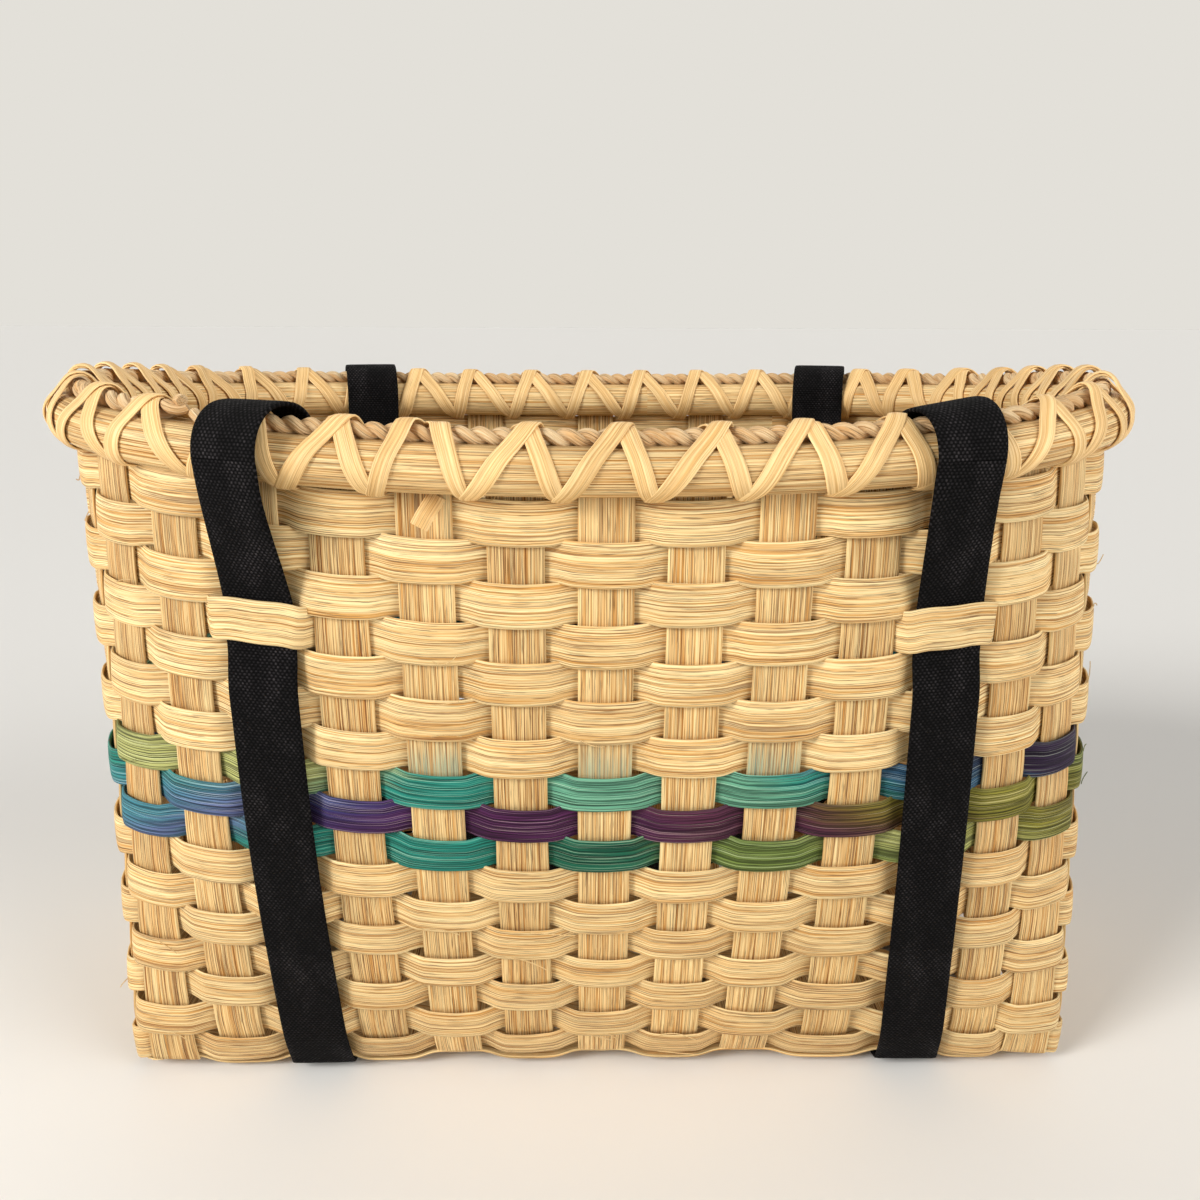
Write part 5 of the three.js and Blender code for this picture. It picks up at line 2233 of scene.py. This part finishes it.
    def _arch(self, stake: int, first: float, last: float, count: int) -> tuple[np.ndarray, np.ndarray]:
        """Webbing over the rim.

        Args:
            stake: Stake that it lies on.
            first: Share of the way over the rim, from the outside, where it starts.
            last: Share where it ends.
            count: Number of points.

        Returns:
            Points, and the ways that the outer face looks.
        """
        angle = np.linspace(first, last, count) * math.pi
        power = 2 / self.arch_squareness
        out, reach, middle = self._across(stake)
        distance = reach * np.sign(np.cos(angle)) * np.abs(np.cos(angle)) ** power
        above = self.arch_rise * np.abs(np.sin(angle)) ** power
        slope = np.abs(np.cos(angle)) ** (2 - power) * np.sign(np.cos(angle)) / reach
        climb = np.abs(np.sin(angle)) ** (2 - power) / self.arch_rise
        points = middle + out * distance[:, None] + UP * above[:, None]
        top = UP - np.array([math.tan(self.crossings.get(stake, Crossing()).roll), 0.0, 0.0])
        return points, unit(out * slope[:, None] + top * climb[:, None])

    def _fold(self, name: str, hand: str, stake: int) -> None:
        """Makes one stretch of webbing over the rim, which bends from the basket to the bridge.

        Args:
            name: front or back.
            hand: left or right.
            stake: Stake that it lies on.
        """
        points, facing = self._arch(stake, 0.0, self.fold_share, self.fold_points)
        node = f"{name}_{hand}_fold"
        piece = self._webbing(node, points, facing)
        start, end = self._arch(stake, self.bend_from, self.bend_to, 2)[0] * np.array([0.0, 1.0, 1.0])
        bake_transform(piece, "basket", f"{name}_bridge", tuple(start), tuple(end))
        self.shop.settle(piece, "webbing", "", node)

    def _leg(self, stake: int) -> tuple[np.ndarray, np.ndarray]:
        """One leg of a handle, from the top of the rim down the inside, where it turns edge-on.

        Args:
            stake: Stake that its strap lies on.

        Returns:
            Points from the top down, and the ways that the outer face looks.
        """
        over, over_face = self._arch(stake, self.fold_share, 1.0, self.over_points)
        start, face = over[-1], over_face[-1]
        share = np.linspace(0, 1, self.leg_points)[1:]
        hand, side = math.copysign(1.0, start[0]), math.copysign(1.0, start[1])
        x = start[0] + (hand * self.leg_x - start[0]) * eased(share)
        z = start[2] + (self.leg_z - start[2]) * share
        y = start[1] + side * math.tan(self.lean) * (z - start[2])
        turn = eased(share)[:, None]
        turned = unit((1 - turn) * face + turn * np.array([-hand, 0.0, 0.0]))
        return np.concatenate([over, np.stack([x, y, z], -1)]), np.concatenate([over_face, turned])

    def _handle(self, name: str, first: int, second: int) -> None:
        """Makes one loop handle, from the top of one fold to the top of the other.

        Args:
            name: front or back.
            first: Stake of its first strap.
            second: Stake of its second strap.
        """
        down, down_face = self._leg(first)
        up, up_face = self._leg(second)
        end = down[-1]
        hand, side = math.copysign(1.0, end[0]), math.copysign(1.0, end[1])
        angle = np.linspace(0, math.pi, self.bow_points)[1:-1]
        fall = self.bow_drop * np.sin(angle)
        inward = side * math.tan(self.lean)
        bow = np.stack([end[0] * np.cos(angle), end[1] - inward * fall, end[2] - fall], -1)
        flat = np.zeros_like(angle)
        across = -hand * self.bow_drop * np.cos(angle)
        bow_face = unit(np.stack([across, flat, self.leg_x * np.sin(angle)], -1))
        points = np.concatenate([down, bow, up[::-1]])
        facing = np.concatenate([down_face, bow_face, up_face[::-1]])
        piece = self._webbing(f"{name}_handle", points, facing)
        start, stop = self._arch(first, self.fold_share, 1.0, 2)[0]
        middle = np.array([0.0, 1.0, 1.0])
        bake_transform(piece, f"{name}_bridge", f"{name}_loop", tuple(start * middle), tuple(stop * middle))
        self.shop.settle(piece, "webbing", "", f"{name}_handle")


# Studio


@dataclass(frozen=True)
class Lamp:
    """One soft light: where it comes from, its strength, its spread, and its size if it is near."""

    name: str
    place: tuple[float, float, float]
    strength: float
    spread: float
    size: float = 0.0


@dataclass
class Studio:
    """Floor, light and camera."""

    eye: tuple[float, float, float] = (-8.3 * MM, -461.6 * MM, 284.4 * MM)
    pitch: float = math.radians(14.51)
    yaw: float = math.radians(-1.07)
    roll: float = math.radians(0.22)
    lens: float = 34.8
    sensor: float = 36.0
    nearest: float = 0.01
    farthest: float = 50.0
    floor_reach: float = 12.0
    world_light: float = 0.25
    world_shown: str = "e3e0d9"
    lamps: tuple[Lamp, ...] = (
        Lamp("key", (-1.0, -0.75, 0.7), 2.0, math.radians(20)),
        Lamp("fill", (1.1, -0.6, 0.45), 2.2, math.radians(50)),
        Lamp("back", (0.2, 0.8, 1.2), 0.4, math.radians(60)),
        Lamp("side", (-0.75, -0.5, 0.4), 2.6, math.radians(180), 0.35),
    )

    def build(self) -> None:
        """Makes the floor, the lamps, the world and the camera."""
        self._floor()
        for lamp in self.lamps:
            self._lamp(lamp)
        self._world()
        self._camera()
        bpy.context.scene.view_settings.view_transform = "Standard"

    def _floor(self) -> None:
        """A wide plain floor under the basket."""
        corners = [(-1, -1), (1, -1), (1, 1), (-1, 1)]
        mesh = bpy.data.meshes.new("floor")
        points = [(x * self.floor_reach, y * self.floor_reach, 0) for x, y in corners]
        mesh.from_pydata(points, [], [(0, 1, 2, 3)])
        mesh.materials.append(FLOOR.build())
        floor = bpy.data.objects.new("floor", mesh)
        bpy.context.scene.collection.objects.link(floor)

    def _lamp(self, lamp: Lamp) -> None:
        """A soft light on the basket and the floor, from far off unless it has a size.

        Args:
            lamp: The light.
        """
        data = bpy.data.lights.new(lamp.name, "AREA" if lamp.size else "SUN")
        data.energy = lamp.strength
        if lamp.size:
            data.size, data.spread = lamp.size, lamp.spread
        else:
            data.angle = lamp.spread
        item = bpy.data.objects.new(lamp.name, data)
        item.visible_camera = False
        item.location = lamp.place
        item.rotation_euler = (-Vector(lamp.place)).to_track_quat("-Z", "Y").to_euler()
        bpy.context.scene.collection.objects.link(item)

    def _world(self) -> None:
        """Even light from all round, and a pale background."""
        world = bpy.data.worlds.new("studio")
        world.use_nodes = True
        bench = Bench(world.node_tree)
        world.node_tree.nodes.clear()
        rays = bench.node("ShaderNodeLightPath")
        seen = Wire(bench, rays.outputs["Is Camera Ray"]) + Wire(bench, rays.outputs["Is Glossy Ray"])
        seen = seen + Wire(bench, rays.outputs["Is Transmission Ray"])
        white = (1.0, 1.0, 1.0, 1.0)
        light = bench.wire("ShaderNodeBackground", None, {"Color": white, "Strength": self.world_light})
        shown = bench.wire("ShaderNodeBackground", None, {"Color": shade(self.world_shown), "Strength": 1.0})
        mixed = bench.wire("ShaderNodeMixShader", None, {0: seen, 1: light, 2: shown})
        bench.node("ShaderNodeOutputWorld", None, {"Surface": mixed})
        bpy.context.scene.world = world

    def _camera(self) -> None:
        """The photograph's view."""
        data = bpy.data.cameras.new("camera")
        data.lens, data.sensor_width = self.lens, self.sensor
        data.clip_start, data.clip_end = self.nearest, self.farthest
        camera = bpy.data.objects.new("camera", data)
        level = math.cos(self.pitch)
        forward = Vector((-math.sin(self.yaw) * level, math.cos(self.yaw) * level, -math.sin(self.pitch)))
        turn = forward.to_track_quat("-Z", "Y").to_matrix() @ Matrix.Rotation(self.roll, 3, "Z")
        camera.matrix_world = Matrix.Translation(self.eye) @ turn.to_4x4()
        bpy.context.scene.collection.objects.link(camera)
        bpy.context.scene.camera = camera


def main() -> None:
    """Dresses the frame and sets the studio."""
    logging.basicConfig(level=logging.INFO, format="%(name)s: %(message)s")
    for item in list(bpy.data.objects):
        bpy.data.objects.remove(item)
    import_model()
    shop, straps = Workshop(), StrapPlan()
    rim = Rim(shop)
    Studio().build()
    for assembly in (Stakes(shop), Weaving(shop, straps), rim, Carriers(shop, straps, rim)):
        assembly.build()


if __name__ == "__main__":
    main()
